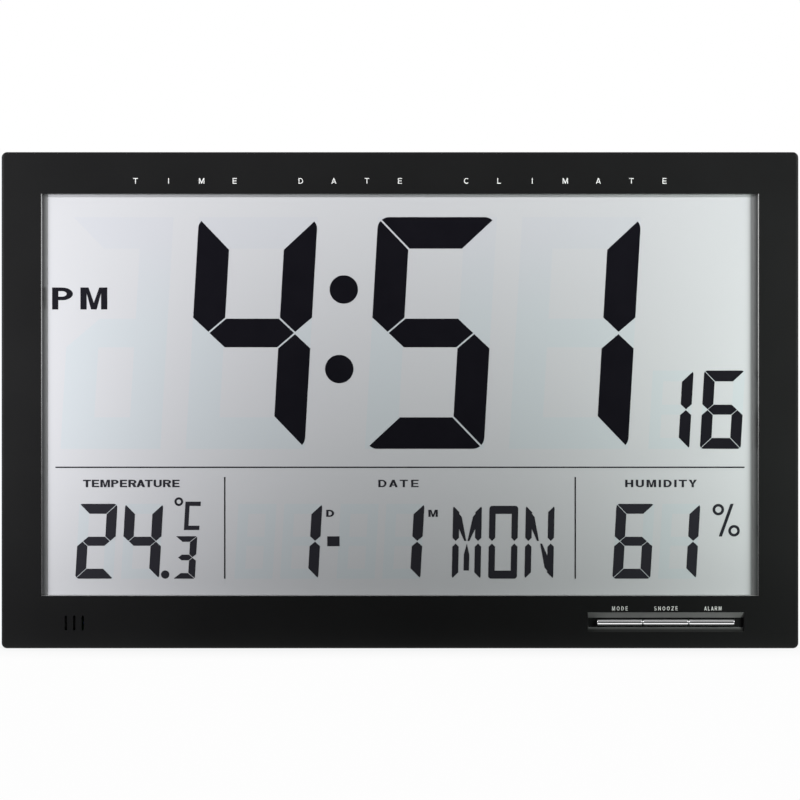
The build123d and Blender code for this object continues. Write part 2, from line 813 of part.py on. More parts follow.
# Frame that clamps the display, with cross bars that carry boards and antenna
with BuildPart() as lcd_frame:
    with BuildSketch(level(frame_back)):
        with Locations((0, window_rise)):
            Rectangle(nest_width, nest_height)
            Rectangle(nest_width - 2 * frame_border, nest_height - 2 * frame_border, mode=Mode.SUBTRACT)
        for x in bar_spots:
            with Locations((x, window_rise)):
                Rectangle(bar_width, nest_height - frame_border)
        for x, z in side_ears:
            with Locations((x, z)):
                Circle(ear_radius)
            with Locations((x - ear_reach / 2 if x > 0 else x + ear_reach / 2, z)):
                Rectangle(ear_reach, 2 * ear_radius)
        for x, z in end_ears:
            with Locations((x, z)):
                Circle(ear_radius)
            with Locations((x, z - ear_reach / 2 if z > 0 else z + ear_reach / 2)):
                Rectangle(2 * ear_radius, ear_reach)
        with Locations(*side_ears, *end_ears):
            Circle(frame_screw_radius + hole_clearance, mode=Mode.SUBTRACT)
        with Locations((flex_x, nest_bottom)):
            Rectangle(flex_notch, 4 * nest_wall, mode=Mode.SUBTRACT)
    extrude(amount=frame_thickness)
    with BuildSketch(level(board_front)):
        with Locations(*main_pillars, *receiver_pillars):
            Circle(board_boss_radius)
    extrude(amount=pillar_height)
    with BuildSketch(level(board_front)):
        with Locations(*main_pillars, *receiver_pillars):
            Circle(board_screw_radius + pilot_clearance)
    extrude(amount=board_screw_length - board_thickness + pilot_spare, mode=Mode.SUBTRACT)
    # Snap clips for the antenna rod
    for x in bar_spots[2:]:
        with BuildSketch(level(rod_height - clip_mouth)):
            with Locations((x, rod_z)):
                Rectangle(clip_width, 2 * (coil_bore + clip_wall))
        extrude(amount=frame_back - rod_height + clip_mouth)
    with BuildSketch(Plane.YZ.offset(bar_spots[2] - clip_width)):
        with Locations((-rod_height, rod_z)):
            Circle(coil_bore)
    extrude(amount=bar_pitch + 2 * clip_width, mode=Mode.SUBTRACT)
keep(lcd_frame, "lcd_frame")

# Ribbon from the contact ledge round the frame to its socket on the main board
connector_low = main_board_low + connector_inset
flex_height = frame_back - flex_behind
flex_front = rear_glass_front + flex_thickness / 2
with BuildPart() as lcd_flex:
    with BuildSketch(Plane.YZ.offset(flex_x - flex_width / 2)):
        with BuildLine():
            FilletPolyline((-flex_front, lcd_bottom + flex_grip), (-flex_front, flex_drop_z),
                           (-flex_height, flex_drop_z), (-flex_height, connector_low), radius=flex_bend)
        trace(line_width=flex_thickness)
    extrude(amount=flex_width)
keep(lcd_flex, "lcd_flex")

# Boards and what is soldered to them
with BuildPart() as main_board:
    with BuildSketch(level(board_back)):
        with Locations((main_board_x, main_board_z)):
            Rectangle(bar_pitch + 2 * board_margin, main_board_height)
        with Locations(*main_pillars):
            Circle(board_screw_radius + hole_clearance, mode=Mode.SUBTRACT)
    extrude(amount=board_thickness)
keep(main_board, "main_board")

with BuildPart() as flex_connector:
    with BuildSketch(level(board_front)):
        with Locations((flex_x, connector_low + connector_size[1] / 2)):
            Rectangle(connector_size[0], connector_size[1])
    extrude(amount=connector_size[2])
keep(flex_connector, "flex_connector")

with BuildPart() as controller_chip:
    with BuildSketch(level(board_back)):
        with Locations((main_board_x, main_board_z + chip_rise)):
            Circle(chip_radius)
    extrude(amount=-chip_height)
    chamfer(controller_chip.faces().sort_by(Axis.Y)[-1].edges(), chip_edge)
keep(controller_chip, "controller_chip")

with BuildPart() as crystal:
    with BuildSketch(level(board_back)):
        with Locations((main_board_x + crystal_offset, main_board_z)):
            RectangleRounded(crystal_size[0], crystal_size[1], crystal_round)
    extrude(amount=-crystal_size[2])
keep(crystal, "crystal")

with BuildPart() as capacitors:
    with BuildSketch(level(board_back)):
        with Locations((main_board_x - capacitor_offset, main_board_z + capacitor_rise)):
            with GridLocations(2 * capacitor_radius + capacitor_gap, 0, 2, 1):
                Circle(capacitor_radius)
    extrude(amount=-capacitor_height)
keep(capacitors, "capacitors")

with BuildPart() as receiver_board:
    with BuildSketch(level(board_back)):
        with Locations((bar_spots[3], receiver_z)):
            Rectangle(bar_width + board_margin, receiver_board_height)
        with Locations(*receiver_pillars):
            Circle(board_screw_radius + hole_clearance, mode=Mode.SUBTRACT)
    extrude(amount=board_thickness)
keep(receiver_board, "receiver_board")

with BuildPart() as receiver_chip:
    with BuildSketch(level(board_back)):
        with Locations((bar_spots[3], receiver_z)):
            Rectangle(receiver_chip_size[0], receiver_chip_size[1])
    extrude(amount=-receiver_chip_size[2])
keep(receiver_chip, "receiver_chip")

with BuildPart() as key_board:
    with BuildSketch(level(key_board_back)):
        with Locations((key_row_x, key_row_z)):
            Rectangle(2 * (key_boss_x + board_margin / 2), key_board_height)
        with Locations(*key_bosses):
            Circle(board_screw_radius + hole_clearance, mode=Mode.SUBTRACT)
    extrude(amount=board_thickness)
keep(key_board, "key_board")

with BuildPart() as sensor_board:
    with BuildSketch(level(sensor_board_back)):
        with Locations((vent_x, vent_z)):
            Rectangle(sensor_board_width, sensor_board_height)
        with Locations(*sensor_bosses):
            Circle(board_screw_radius + hole_clearance, mode=Mode.SUBTRACT)
    extrude(amount=board_thickness)
keep(sensor_board, "sensor_board")

with BuildPart() as humidity_sensor:
    with BuildSketch(level(sensor_board_front)):
        with Locations((vent_x - humidity_sensor_size[0] / 4, vent_z)):
            Rectangle(humidity_sensor_size[0], humidity_sensor_size[1])
    extrude(amount=humidity_sensor_size[2])
keep(humidity_sensor, "humidity_sensor")

with BuildPart() as thermistor:
    with BuildSketch(level(sensor_board_front)):
        with Locations((vent_x + humidity_sensor_size[0] / 2 + thermistor_radius, vent_z)):
            Circle(thermistor_radius)
    extrude(amount=thermistor_height)
    chamfer(thermistor.faces().sort_by(Axis.Y)[0].edges(), thermistor_edge)
keep(thermistor, "thermistor")

# Keys: half-round bars in the trough, a flange behind the floor and a stem on the switch
key_radius = key_height / 2
with BuildPart() as switch_bodies:
    for index in range(len(key_names)):
        switch_x = key_row_x + (index - 1) * key_pitch
        with BuildSketch(level(key_board_front)):
            with Locations((switch_x, key_row_z)):
                Rectangle(switch_size, switch_size)
        extrude(amount=switch_height)
        with BuildSketch(level(key_board_front + switch_skin)):
            with Locations((switch_x, key_row_z)):
                Circle(plunger_radius + plunger_clearance)
        extrude(amount=switch_height - switch_skin, mode=Mode.SUBTRACT)
keep(switch_bodies, "switch_bodies")

plunger_back = key_board_front + switch_skin + key_travel + stop_gap
for index, key_name in enumerate(key_names):
    key_x = key_row_x + (index - 1) * key_pitch
    with BuildPart() as key:
        with BuildSketch(Plane.YZ.offset(key_x - key_width / 2)):
            with Locations((-(flange_back + key_crown - key_radius) / 2, key_row_z)):
                Rectangle(key_crown - key_radius - flange_back, key_height)
            with Locations((-(key_crown - key_radius), key_row_z)):
                Circle(key_radius)
        extrude(amount=key_width)
        fillet(key.edges().filter_by(GeomType.CIRCLE), key_end_round)
        with BuildSketch(level(flange_back)):
            with Locations((key_x, key_row_z)):
                Rectangle(key_width, flange_height)
        extrude(amount=flange_thickness)
        with BuildSketch(level(stem_back)):
            with Locations((key_x, key_row_z)):
                Circle(stem_radius)
        extrude(amount=stem_length)
    keep(key, f"{key_name}_key")
    with BuildPart() as plunger:
        with BuildSketch(level(plunger_back)):
            with Locations((key_x, key_row_z)):
                Circle(plunger_radius)
        extrude(amount=stem_back - plunger_back)
    keep(plunger, f"{key_name}_plunger")

# Rear shell: tapered tray with a tongue inside the front shell
recess_width = well_length + 2 * ledge
recess_height = well_height + 2 * ledge
recess_depth = door_recess + door_thickness + door_seat_gap
door_axis_z = well_z - recess_height / 2 + door_thickness / 2 + hinge_gap
door_axis_height = door_recess + door_thickness / 2
door_width = recess_width - 2 * door_gap
door_top = well_z + recess_height / 2 - door_gap
cell_rows = [well_z + cell_radius + cell_gap / 2, well_z - cell_radius - cell_gap / 2]
tab_height = cell_axis_height + contact_height / 2 - contact_thickness / 2

foot_x = case_right - foot_from_side
foot_axis_z = case_bottom + foot_axis_rise
foot_tip_z = foot_axis_z + foot_length
foot_front = foot_recess + foot_thickness
barrel_radius = foot_axis_height - foot_recess
pocket_low = foot_axis_z - foot_drop
pocket_high = foot_tip_z + foot_tip_gap
pocket_width = foot_width + 2 * foot_side_gap
pocket_floor = foot_front + foot_floor_gap
barrel_floor = foot_axis_height + barrel_radius + foot_floor_gap
barrel_high = foot_axis_z + barrel_radius + foot_floor_gap

keyhole_spots = [(-keyhole_spacing / 2, keyhole_z), (keyhole_spacing / 2, keyhole_z)]
sounder_back = wall + sounder_lift
sounder_front = sounder_back + sounder_thickness
ceramic_front = sounder_front + ceramic_thickness
tongue_width = inner_width - 2 * fit_gap
tongue_height = inner_height - 2 * fit_gap
with BuildPart() as rear_cover:
    with BuildSketch(level(0)):
        RectangleRounded(case_width - 2 * back_inset, case_height - 2 * back_inset, case_corner)
    with BuildSketch(level(seam_height)):
        RectangleRounded(case_width, case_height, case_corner)
    loft(ruled=True)
    fillet(rear_cover.faces().sort_by(Axis.Y)[-1].edges(), back_edge_round)
    with BuildSketch(level(seam_height)):
        RectangleRounded(tongue_width, tongue_height, inner_corner)
    extrude(amount=tongue_depth)
    with BuildSketch(level(wall)):
        RectangleRounded(tongue_width - 2 * tongue_wall, tongue_height - 2 * tongue_wall, inner_corner)
    extrude(amount=seam_height + tongue_depth - wall, mode=Mode.SUBTRACT)
    # Stiffening ribs on the inside of the back wall
    with BuildSketch(level(wall)):
        for x in bar_spots:
            with Locations((x, 0)):
                Rectangle(rib_width, tongue_height - tongue_wall)
        for z in (well_z + recess_height, keyhole_z):
            with Locations((0, z)):
                Rectangle(tongue_width - tongue_wall, rib_width)
    extrude(amount=rib_height)
    # Room and ring for the sounder
    with BuildSketch(level(wall)):
        with Locations((sounder_x, sounder_z)):
            Circle(sounder_radius + sounder_gap + sounder_lip)
    extrude(amount=sounder_lift + sounder_lip)
    with BuildSketch(level(sounder_back)):
        with Locations((sounder_x, sounder_z)):
            Circle(sounder_radius + sounder_gap)
    extrude(amount=rib_height + sounder_lip, mode=Mode.SUBTRACT)
    with BuildSketch(level(wall)):
        with Locations((sounder_x, sounder_z)):
            Circle(sounder_radius - sounder_seat)
    extrude(amount=sounder_lift, mode=Mode.SUBTRACT)
    with BuildSketch(level(0)):
        with Locations((sounder_x, sounder_z)):
            Circle(sound_hole_radius)
            with PolarLocations(sound_hole_circle, 6):
                Circle(sound_hole_radius)
    extrude(amount=wall, mode=Mode.SUBTRACT)
    # Screw posts with wells open at the back
    with BuildSketch(level(wall)):
        with Locations(*case_screw_spots):
            Circle(well_radius + post_wall)
    extrude(amount=post_height - wall)
    with BuildSketch(level(0)):
        with Locations(*case_screw_spots):
            Circle(well_radius)
    extrude(amount=post_height - post_floor, mode=Mode.SUBTRACT)
    with BuildSketch(level(0)):
        with Locations(*case_screw_spots):
            Circle(case_screw_radius + hole_clearance)
    extrude(amount=post_height, mode=Mode.SUBTRACT)
    # Keyholes for two wall screws, each with a closed pocket behind
    for x, z in keyhole_spots:
        with BuildSketch(level(wall)):
            with Locations((x, z + keyhole_rise / 2)):
                Rectangle(2 * (keyhole_room + keyhole_wall),
                          keyhole_rise + 2 * (keyhole_room + keyhole_wall))
        extrude(amount=keyhole_pocket_depth + keyhole_wall)
        with BuildSketch(level(wall)):
            with Locations((x, z + keyhole_rise / 2)):
                Rectangle(2 * keyhole_room, keyhole_rise + 2 * keyhole_room)
        extrude(amount=keyhole_pocket_depth, mode=Mode.SUBTRACT)
        with BuildSketch(level(0)):
            with Locations((x, z)):
                Circle(keyhole_entry_radius)
            with Locations((x, z + keyhole_rise / 2)):
                SlotCenterToCenter(keyhole_rise, 2 * keyhole_slot_radius, rotation=90)
        extrude(amount=wall, mode=Mode.SUBTRACT)
    # Recesses for the fold-out feet: shallow for the plate, deep round the barrel
    for side_x in (-foot_x, foot_x):
        with BuildSketch(level(wall)):
            with Locations((side_x, (pocket_low + pocket_high) / 2)):
                Rectangle(pocket_width + 2 * pocket_side_wall, pocket_high - pocket_low + 2 * pocket_wall)
            with Locations((side_x, pocket_high)):
                Circle(finger_radius + pocket_wall)
        extrude(amount=pocket_floor + pocket_wall - wall)
        with BuildSketch(level(wall)):
            with Locations((side_x, (pocket_low + barrel_high) / 2)):
                Rectangle(pocket_width + 2 * pocket_side_wall, barrel_high - pocket_low + 2 * pocket_wall)
        extrude(amount=barrel_floor + pocket_wall - wall)
        with BuildSketch(level(0)):
            with Locations((side_x, (pocket_low + pocket_high) / 2)):
                Rectangle(pocket_width, pocket_high - pocket_low)
            with Locations((side_x, pocket_high)):
                Circle(finger_radius)
        extrude(amount=pocket_floor, mode=Mode.SUBTRACT)
        with BuildSketch(level(0)):
            with Locations((side_x, (pocket_low + barrel_high) / 2)):
                Rectangle(pocket_width, barrel_high - pocket_low)
        extrude(amount=barrel_floor, mode=Mode.SUBTRACT)
        with BuildSketch(Plane.YZ.offset(side_x - pocket_width / 2 - pocket_side_wall)):
            with Locations((-foot_axis_height, foot_axis_z)):
                Circle(foot_pin_radius + pin_clearance)
        extrude(amount=pocket_width + 2 * pocket_side_wall, mode=Mode.SUBTRACT)
    # Battery well with a ledge and pin sockets for its door
    with BuildSketch(level(wall)):
        with Locations((0, well_z)):
            Rectangle(recess_width + 2 * flange_border, recess_height + 2 * flange_border)
    extrude(amount=door_flange)
    with BuildSketch(level(wall)):
        with Locations((0, well_z)):
            Rectangle(well_length + 2 * well_wall, well_height + 2 * well_wall)
    extrude(amount=well_floor + well_wall - wall)
    with BuildSketch(level(0)):
        with Locations((0, well_z)):
            Rectangle(recess_width, recess_height)
    extrude(amount=recess_depth, mode=Mode.SUBTRACT)
    with BuildSketch(level(0)):
        with Locations((0, well_z)):
            Rectangle(well_length, well_height)
    extrude(amount=well_floor, mode=Mode.SUBTRACT)
    with BuildSketch(level(0)):
        with Locations((0, well_z + recess_height / 2)):
            Circle(thumb_radius)
    extrude(amount=thumb_depth, mode=Mode.SUBTRACT)
    with BuildSketch(Plane.YZ.offset(-recess_width / 2)):
        with Locations((-door_axis_height, door_axis_z)):
            Circle(door_thickness / 2 + hinge_gap)
    extrude(amount=recess_width, mode=Mode.SUBTRACT)
    with BuildSketch(Plane.YZ.offset(-recess_width / 2 - door_pin_length)):
        with Locations((-door_axis_height, door_axis_z)):
            Circle(door_pin_radius + pin_clearance)
    extrude(amount=recess_width + 2 * door_pin_length, mode=Mode.SUBTRACT)
    # Slits for the terminals' solder tabs in the end wall of the well
    with BuildSketch(Plane.YZ.offset(-well_length / 2 - well_wall)):
        with Locations(*[(-tab_height, z) for z in cell_rows]):
            Rectangle(contact_thickness + 2 * tab_clearance, tab_width + 2 * tab_clearance)
    extrude(amount=well_wall, mode=Mode.SUBTRACT)
keep(rear_cover, "rear_cover")

# Two round cells, head to tail
cell_start = -well_length / 2 + contact_thickness + dimple_height
with BuildPart() as battery_cells:
    for z, turn in zip(cell_rows, (1, -1)):
        with BuildSketch(Plane.YZ.offset(turn * (cell_start + nub_length))):
            with Locations((-cell_axis_height, z)):
                Circle(cell_radius)
        extrude(amount=turn * cell_body)
        with BuildSketch(Plane.YZ.offset(turn * cell_start)):
            with Locations((-cell_axis_height, z)):
                Circle(nub_radius)
        extrude(amount=turn * nub_length)
keep(battery_cells, "battery_cells")

# Stamped contacts: a dimpled plate for each positive end, a bent leaf for each negative end
leaf_touch = cell_start + cell_length + contact_thickness / 2
leaf_base = well_length / 2 - contact_thickness / 2
contact_low = cell_axis_height - contact_height / 2
contact_high = cell_axis_height + contact_height / 2
leaf_route = [(leaf_base, contact_high), (leaf_base, contact_low + leaf_width / 8),
              (leaf_touch, cell_axis_height), (leaf_touch + leaf_room / 2, contact_high - leaf_width / 4)]
terminal_end = -well_length / 2 - well_wall - tab_reach


def leaf_sketch(z, turn):
    """Side view of a leaf contact; turned over for the other end of the well."""
    with BuildSketch(Plane.XY.offset(z - leaf_width / 2)) as leaf:
        with BuildLine():
            FilletPolyline([(turn * x, -height) for x, height in leaf_route], radius=contact_thickness)
        trace(line_width=contact_thickness)
    return leaf.sketch


with BuildPart() as battery_bridge:
    with BuildSketch(Plane.YZ.offset(well_length / 2)):
        with Locations((-cell_axis_height, well_z)):
            Rectangle(contact_height, cell_rows[0] - cell_rows[1] + contact_width)
    extrude(amount=-contact_thickness)
    with BuildSketch(Plane.YZ.offset(well_length / 2 - contact_thickness)):
        with Locations((-cell_axis_height, cell_rows[1])):
            Circle(dimple_radius)
    extrude(amount=-dimple_height)
    extrude(leaf_sketch(cell_rows[0], 1), amount=leaf_width)
keep(battery_bridge, "battery_bridge")

with BuildPart() as battery_terminals:
    with BuildSketch(Plane.YZ.offset(-well_length / 2)):
        with Locations(*[(-cell_axis_height, z) for z in cell_rows]):
            Rectangle(contact_height, contact_width)
    extrude(amount=contact_thickness)
    with BuildSketch(Plane.YZ.offset(-well_length / 2 + contact_thickness)):
        with Locations((-cell_axis_height, cell_rows[0])):
            Circle(dimple_radius)
    extrude(amount=dimple_height)
    extrude(leaf_sketch(cell_rows[1], -1), amount=leaf_width)
    with BuildSketch(Plane.YZ.offset(terminal_end)):
        with Locations(*[(-tab_height, z) for z in cell_rows]):
            Rectangle(contact_thickness, tab_width)
    extrude(amount=well_wall + tab_reach)
keep(battery_terminals, "battery_terminals")

# Battery door: round hinge edge on two pins, and a springy latch tongue at the top
with BuildPart() as battery_door:
    with BuildSketch(Plane.YZ.offset(-door_width / 2)):
        with Locations((-door_axis_height, (door_axis_z + door_top) / 2)):
            Rectangle(door_thickness, door_top - door_axis_z)
        with Locations((-door_axis_height, door_axis_z)):
            Circle(door_thickness / 2)
    extrude(amount=door_width)
    with BuildSketch(Plane.YZ.offset(-door_width / 2 - door_gap - door_pin_length + hinge_gap)):
        with Locations((-door_axis_height, door_axis_z)):
            Circle(door_pin_radius)
    extrude(amount=door_width + 2 * (door_gap + door_pin_length - hinge_gap))
    with BuildSketch(level(door_recess)):
        with Locations((0, door_top - latch_length / 2)):
            with GridLocations(latch_width, 0, 2, 1):
                Rectangle(latch_slit, latch_length)
    extrude(amount=door_thickness, mode=Mode.SUBTRACT)
keep(battery_door, "battery_door")

# Fold-out feet: ribbed plates on a barrel with moulded pins
for foot_name, side_x in (("left_foot", -foot_x), ("right_foot", foot_x)):
    with BuildPart() as foot:
        with BuildSketch(Plane.YZ.offset(side_x - foot_width / 2)):
            with Locations((-(foot_recess + foot_front) / 2, (foot_axis_z + foot_tip_z) / 2)):
                Rectangle(foot_thickness, foot_length)
        extrude(amount=foot_width)
        fillet(foot.edges().filter_by(Axis.Y).group_by(Axis.Z)[-1], foot_corner)
        cell_low = foot_axis_z + barrel_radius + foot_rib
        cell_high = foot_tip_z - foot_corner
        with BuildSketch(level(foot_recess + foot_skin)):
            with Locations((side_x, (cell_low + cell_high) / 2)):
                with GridLocations(foot_width / 2 - foot_rib / 2, 0, 2, 1):
                    Rectangle(foot_width / 2 - 1.5 * foot_rib, cell_high - cell_low)
        extrude(amount=foot_thickness - foot_skin, mode=Mode.SUBTRACT)
        with BuildSketch(Plane.YZ.offset(side_x - foot_width / 2)):
            with Locations((-foot_axis_height, foot_axis_z)):
                Circle(barrel_radius)
        extrude(amount=foot_width)
        with BuildSketch(Plane.YZ.offset(side_x - foot_width / 2 - foot_pin_length)):
            with Locations((-foot_axis_height, foot_axis_z)):
                Circle(foot_pin_radius)
        extrude(amount=foot_width + 2 * foot_pin_length)
    keep(foot, foot_name)

# Antenna rod with its winding
coil_x = (bar_spots[2] + bar_spots[3]) / 2
with BuildPart() as ferrite_rod:
    with BuildSketch(Plane.YZ.offset(coil_x - rod_length / 2)):
        with Locations((-rod_height, rod_z)):
            Circle(rod_radius)
    extrude(amount=rod_length)
keep(ferrite_rod, "ferrite_rod")

with BuildPart() as antenna_coil:
    with BuildSketch(Plane.YZ.offset(coil_x - coil_length / 2)):
        with Locations((-rod_height, rod_z)):
            Circle(coil_radius)
            Circle(coil_bore, mode=Mode.SUBTRACT)
    extrude(amount=coil_length)
keep(antenna_coil, "antenna_coil")

# Sounder: brass disc with a ceramic layer
with BuildPart() as buzzer_plate:
    with BuildSketch(level(sounder_back)):
        with Locations((sounder_x, sounder_z)):
            Circle(sounder_radius)
    extrude(amount=sounder_thickness)
keep(buzzer_plate, "buzzer_plate")

with BuildPart() as buzzer_ceramic:
    with BuildSketch(level(sounder_front)):
        with Locations((sounder_x, sounder_z)):
            Circle(ceramic_radius)
    extrude(amount=ceramic_thickness)
keep(buzzer_ceramic, "buzzer_ceramic")

# Screws: round heads with a cross recess, plain shanks
screw_kinds = {
    "case_screws": (case_screw_spots, post_height - post_floor, case_screw_radius, case_screw_length,
                    case_head_radius, case_head_height),
    "frame_screws": (side_ears + end_ears, frame_back, frame_screw_radius, frame_screw_length,
                     frame_head_radius, frame_head_height),
}
for screw_name, (spots, seat, radius, length, head_radius, head_height) in screw_kinds.items():
    with BuildPart() as screws:
        with BuildSketch(level(seat)):
            with Locations(*spots):
                Circle(radius)
        extrude(amount=length)
        with BuildSketch(level(seat)):
            with Locations(*spots):
                Circle(head_radius)
        extrude(amount=-head_height)
        with BuildSketch(level(seat - head_height)):
            with Locations(*spots):
                Rectangle(drive_length, drive_width)
                Rectangle(drive_width, drive_length)
        extrude(amount=drive_depth, mode=Mode.SUBTRACT)
    keep(screws, screw_name)

board_screw_groups = [(main_pillars + receiver_pillars, board_back), (key_bosses, key_board_back),
                      (sensor_bosses, sensor_board_back)]
with BuildPart() as board_screws:
    for spots, seat in board_screw_groups:
        with BuildSketch(level(seat)):
            with Locations(*spots):
                Circle(board_screw_radius)
        extrude(amount=board_screw_length)
        with BuildSketch(level(seat)):
            with Locations(*spots):
                Circle(board_head_radius)
        extrude(amount=-board_head_height)
keep(board_screws, "board_screws")

# Wires, each from the face it is soldered to, round straight runs with bends, to its pad
lead_height = board_back - lead_drop
low_lead_height = board_back - low_lead_drop
pad_x = main_board_x + bar_pitch / 2 - 2.5 * lead_pitch
pad_z = main_board_low + lead_pitch / 2
receiver_pad_x = bar_spots[3] - bar_width / 2 + lead_radius
battery_routes = []
for z, pad in zip(cell_rows, (pad_x, pad_x - lead_pitch)):
    battery_routes.append([place(terminal_end, z, tab_height), place(pad, z, tab_height),
                           place(pad, z, lead_height), place(pad, pad_z, lead_height),
                           place(pad, pad_z, board_back)])
buzzer_z = well_z + recess_height / 2 + flange_border
buzzer_routes = [
    [place(sounder_x - ceramic_radius / 2, buzzer_z, ceramic_front),
     place(sounder_x - ceramic_radius / 2, buzzer_z, low_lead_height),
     place(pad_x + lead_pitch / 2, buzzer_z, low_lead_height),
     place(pad_x + lead_pitch / 2, pad_z + lead_pitch, low_lead_height),
     place(pad_x + lead_pitch / 2, pad_z + lead_pitch, board_back)],
    [place(sounder_x - ceramic_radius - 2 * lead_radius, buzzer_z + 4 * lead_radius, sounder_front),
     place(sounder_x - ceramic_radius - 2 * lead_radius, buzzer_z + 4 * lead_radius, low_lead_height),
     place(pad_x + lead_pitch, buzzer_z + 4 * lead_radius, low_lead_height),
     place(pad_x + lead_pitch, pad_z + 2 * lead_pitch, low_lead_height),
     place(pad_x + lead_pitch, pad_z + 2 * lead_pitch, board_back)],
]
key_lead_x = key_row_x - key_boss_x + 2 * lead_pitch
key_lead_z = pad_z + 3 * lead_pitch
key_route = [place(key_lead_x, key_row_z, key_board_back), place(key_lead_x, key_row_z, lead_height),
             place(key_lead_x, key_lead_z, lead_height), place(pad_x, key_lead_z, lead_height),
             place(pad_x, key_lead_z, board_back)]
sensor_lead_x = vent_x + lead_pitch
sensor_pad_x = bar_spots[0] + 2 * lead_pitch
sensor_lead_height = board_back - sensor_lead_drop
sensor_route = [place(sensor_lead_x, vent_z, sensor_board_back),
                place(sensor_lead_x, vent_z, sensor_lead_height),
                place(sensor_lead_x, key_lead_z, sensor_lead_height),
                place(sensor_pad_x, key_lead_z, sensor_lead_height),
                place(sensor_pad_x, key_lead_z, board_back)]
coil_lead_z = rod_z - coil_bore - coil_wall / 2
coil_end = coil_x + coil_length / 2
antenna_route = [place(coil_end, coil_lead_z, rod_height),
                 place(coil_end + 2 * lead_pitch, coil_lead_z, rod_height),
                 place(coil_end + 2 * lead_pitch, receiver_z + lead_pitch, rod_height),
                 place(receiver_pad_x, receiver_z + lead_pitch, rod_height),
                 place(receiver_pad_x, receiver_z + lead_pitch, board_back)]
receiver_lead_z = receiver_z - lead_pitch
board_pad_z = main_board_high - 2 * lead_pitch
receiver_route = [place(receiver_pad_x, receiver_lead_z, board_back),
                  place(receiver_pad_x, receiver_lead_z, lead_height),
                  place(pad_x, board_pad_z, lead_height),
                  place(pad_x, board_pad_z, board_back)]
wire_sets = {"battery_leads": battery_routes, "buzzer_leads": buzzer_routes, "key_lead": [key_route],
             "sensor_lead": [sensor_route], "antenna_lead": [antenna_route],
             "receiver_lead": [receiver_route]}


def bend_radii(route):
    """Radius of each bend of a wire: as large as its shorter run allows."""
    points = [Vector(*point) for point in route]
    runs = [(after - before).length for before, after in zip(points, points[1:])]
    return [min(lead_bend, bend_share * min(pair)) for pair in zip(runs, runs[1:])]


for wire_name, routes in wire_sets.items():
    with BuildPart() as wires:
        for route in routes:
            with BuildLine() as path:
                FilletPolyline(*route, radius=bend_radii(route))
            with BuildSketch(Plane(origin=path.line @ 0, z_dir=path.line % 0)):
                RegularPolygon(lead_radius, lead_sides)
            sweep()
    keep(wires, wire_name)
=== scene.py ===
import math

import bpy
from mathutils import Matrix, Vector


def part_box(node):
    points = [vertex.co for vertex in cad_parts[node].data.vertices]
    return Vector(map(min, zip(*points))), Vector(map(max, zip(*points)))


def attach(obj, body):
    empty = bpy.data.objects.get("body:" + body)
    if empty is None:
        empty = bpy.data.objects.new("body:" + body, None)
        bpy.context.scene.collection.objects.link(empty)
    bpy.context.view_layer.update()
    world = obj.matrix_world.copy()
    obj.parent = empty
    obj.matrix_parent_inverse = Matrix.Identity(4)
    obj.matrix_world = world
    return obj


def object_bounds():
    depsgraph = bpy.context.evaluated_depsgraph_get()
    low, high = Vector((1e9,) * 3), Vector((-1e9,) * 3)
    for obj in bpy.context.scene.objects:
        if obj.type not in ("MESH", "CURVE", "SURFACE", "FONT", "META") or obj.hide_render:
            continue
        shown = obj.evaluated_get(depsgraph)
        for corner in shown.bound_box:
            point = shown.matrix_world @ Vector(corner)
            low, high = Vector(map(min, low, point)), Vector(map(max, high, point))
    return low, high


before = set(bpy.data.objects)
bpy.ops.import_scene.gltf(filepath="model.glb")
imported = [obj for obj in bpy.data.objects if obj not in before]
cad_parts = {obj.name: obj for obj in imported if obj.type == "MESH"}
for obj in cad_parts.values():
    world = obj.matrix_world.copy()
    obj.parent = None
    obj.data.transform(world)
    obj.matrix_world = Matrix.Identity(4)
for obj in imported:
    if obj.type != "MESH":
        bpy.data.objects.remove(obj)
cad_low, cad_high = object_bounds()

# Front bezel: the deep front shell of the case, with the window, the key trough and the vent.
# Injection-moulded in satin black plastic whose mould was spark-eroded to a fine even grain.
# It is the piece that everything else is laid into, face down.
mm = 0.001


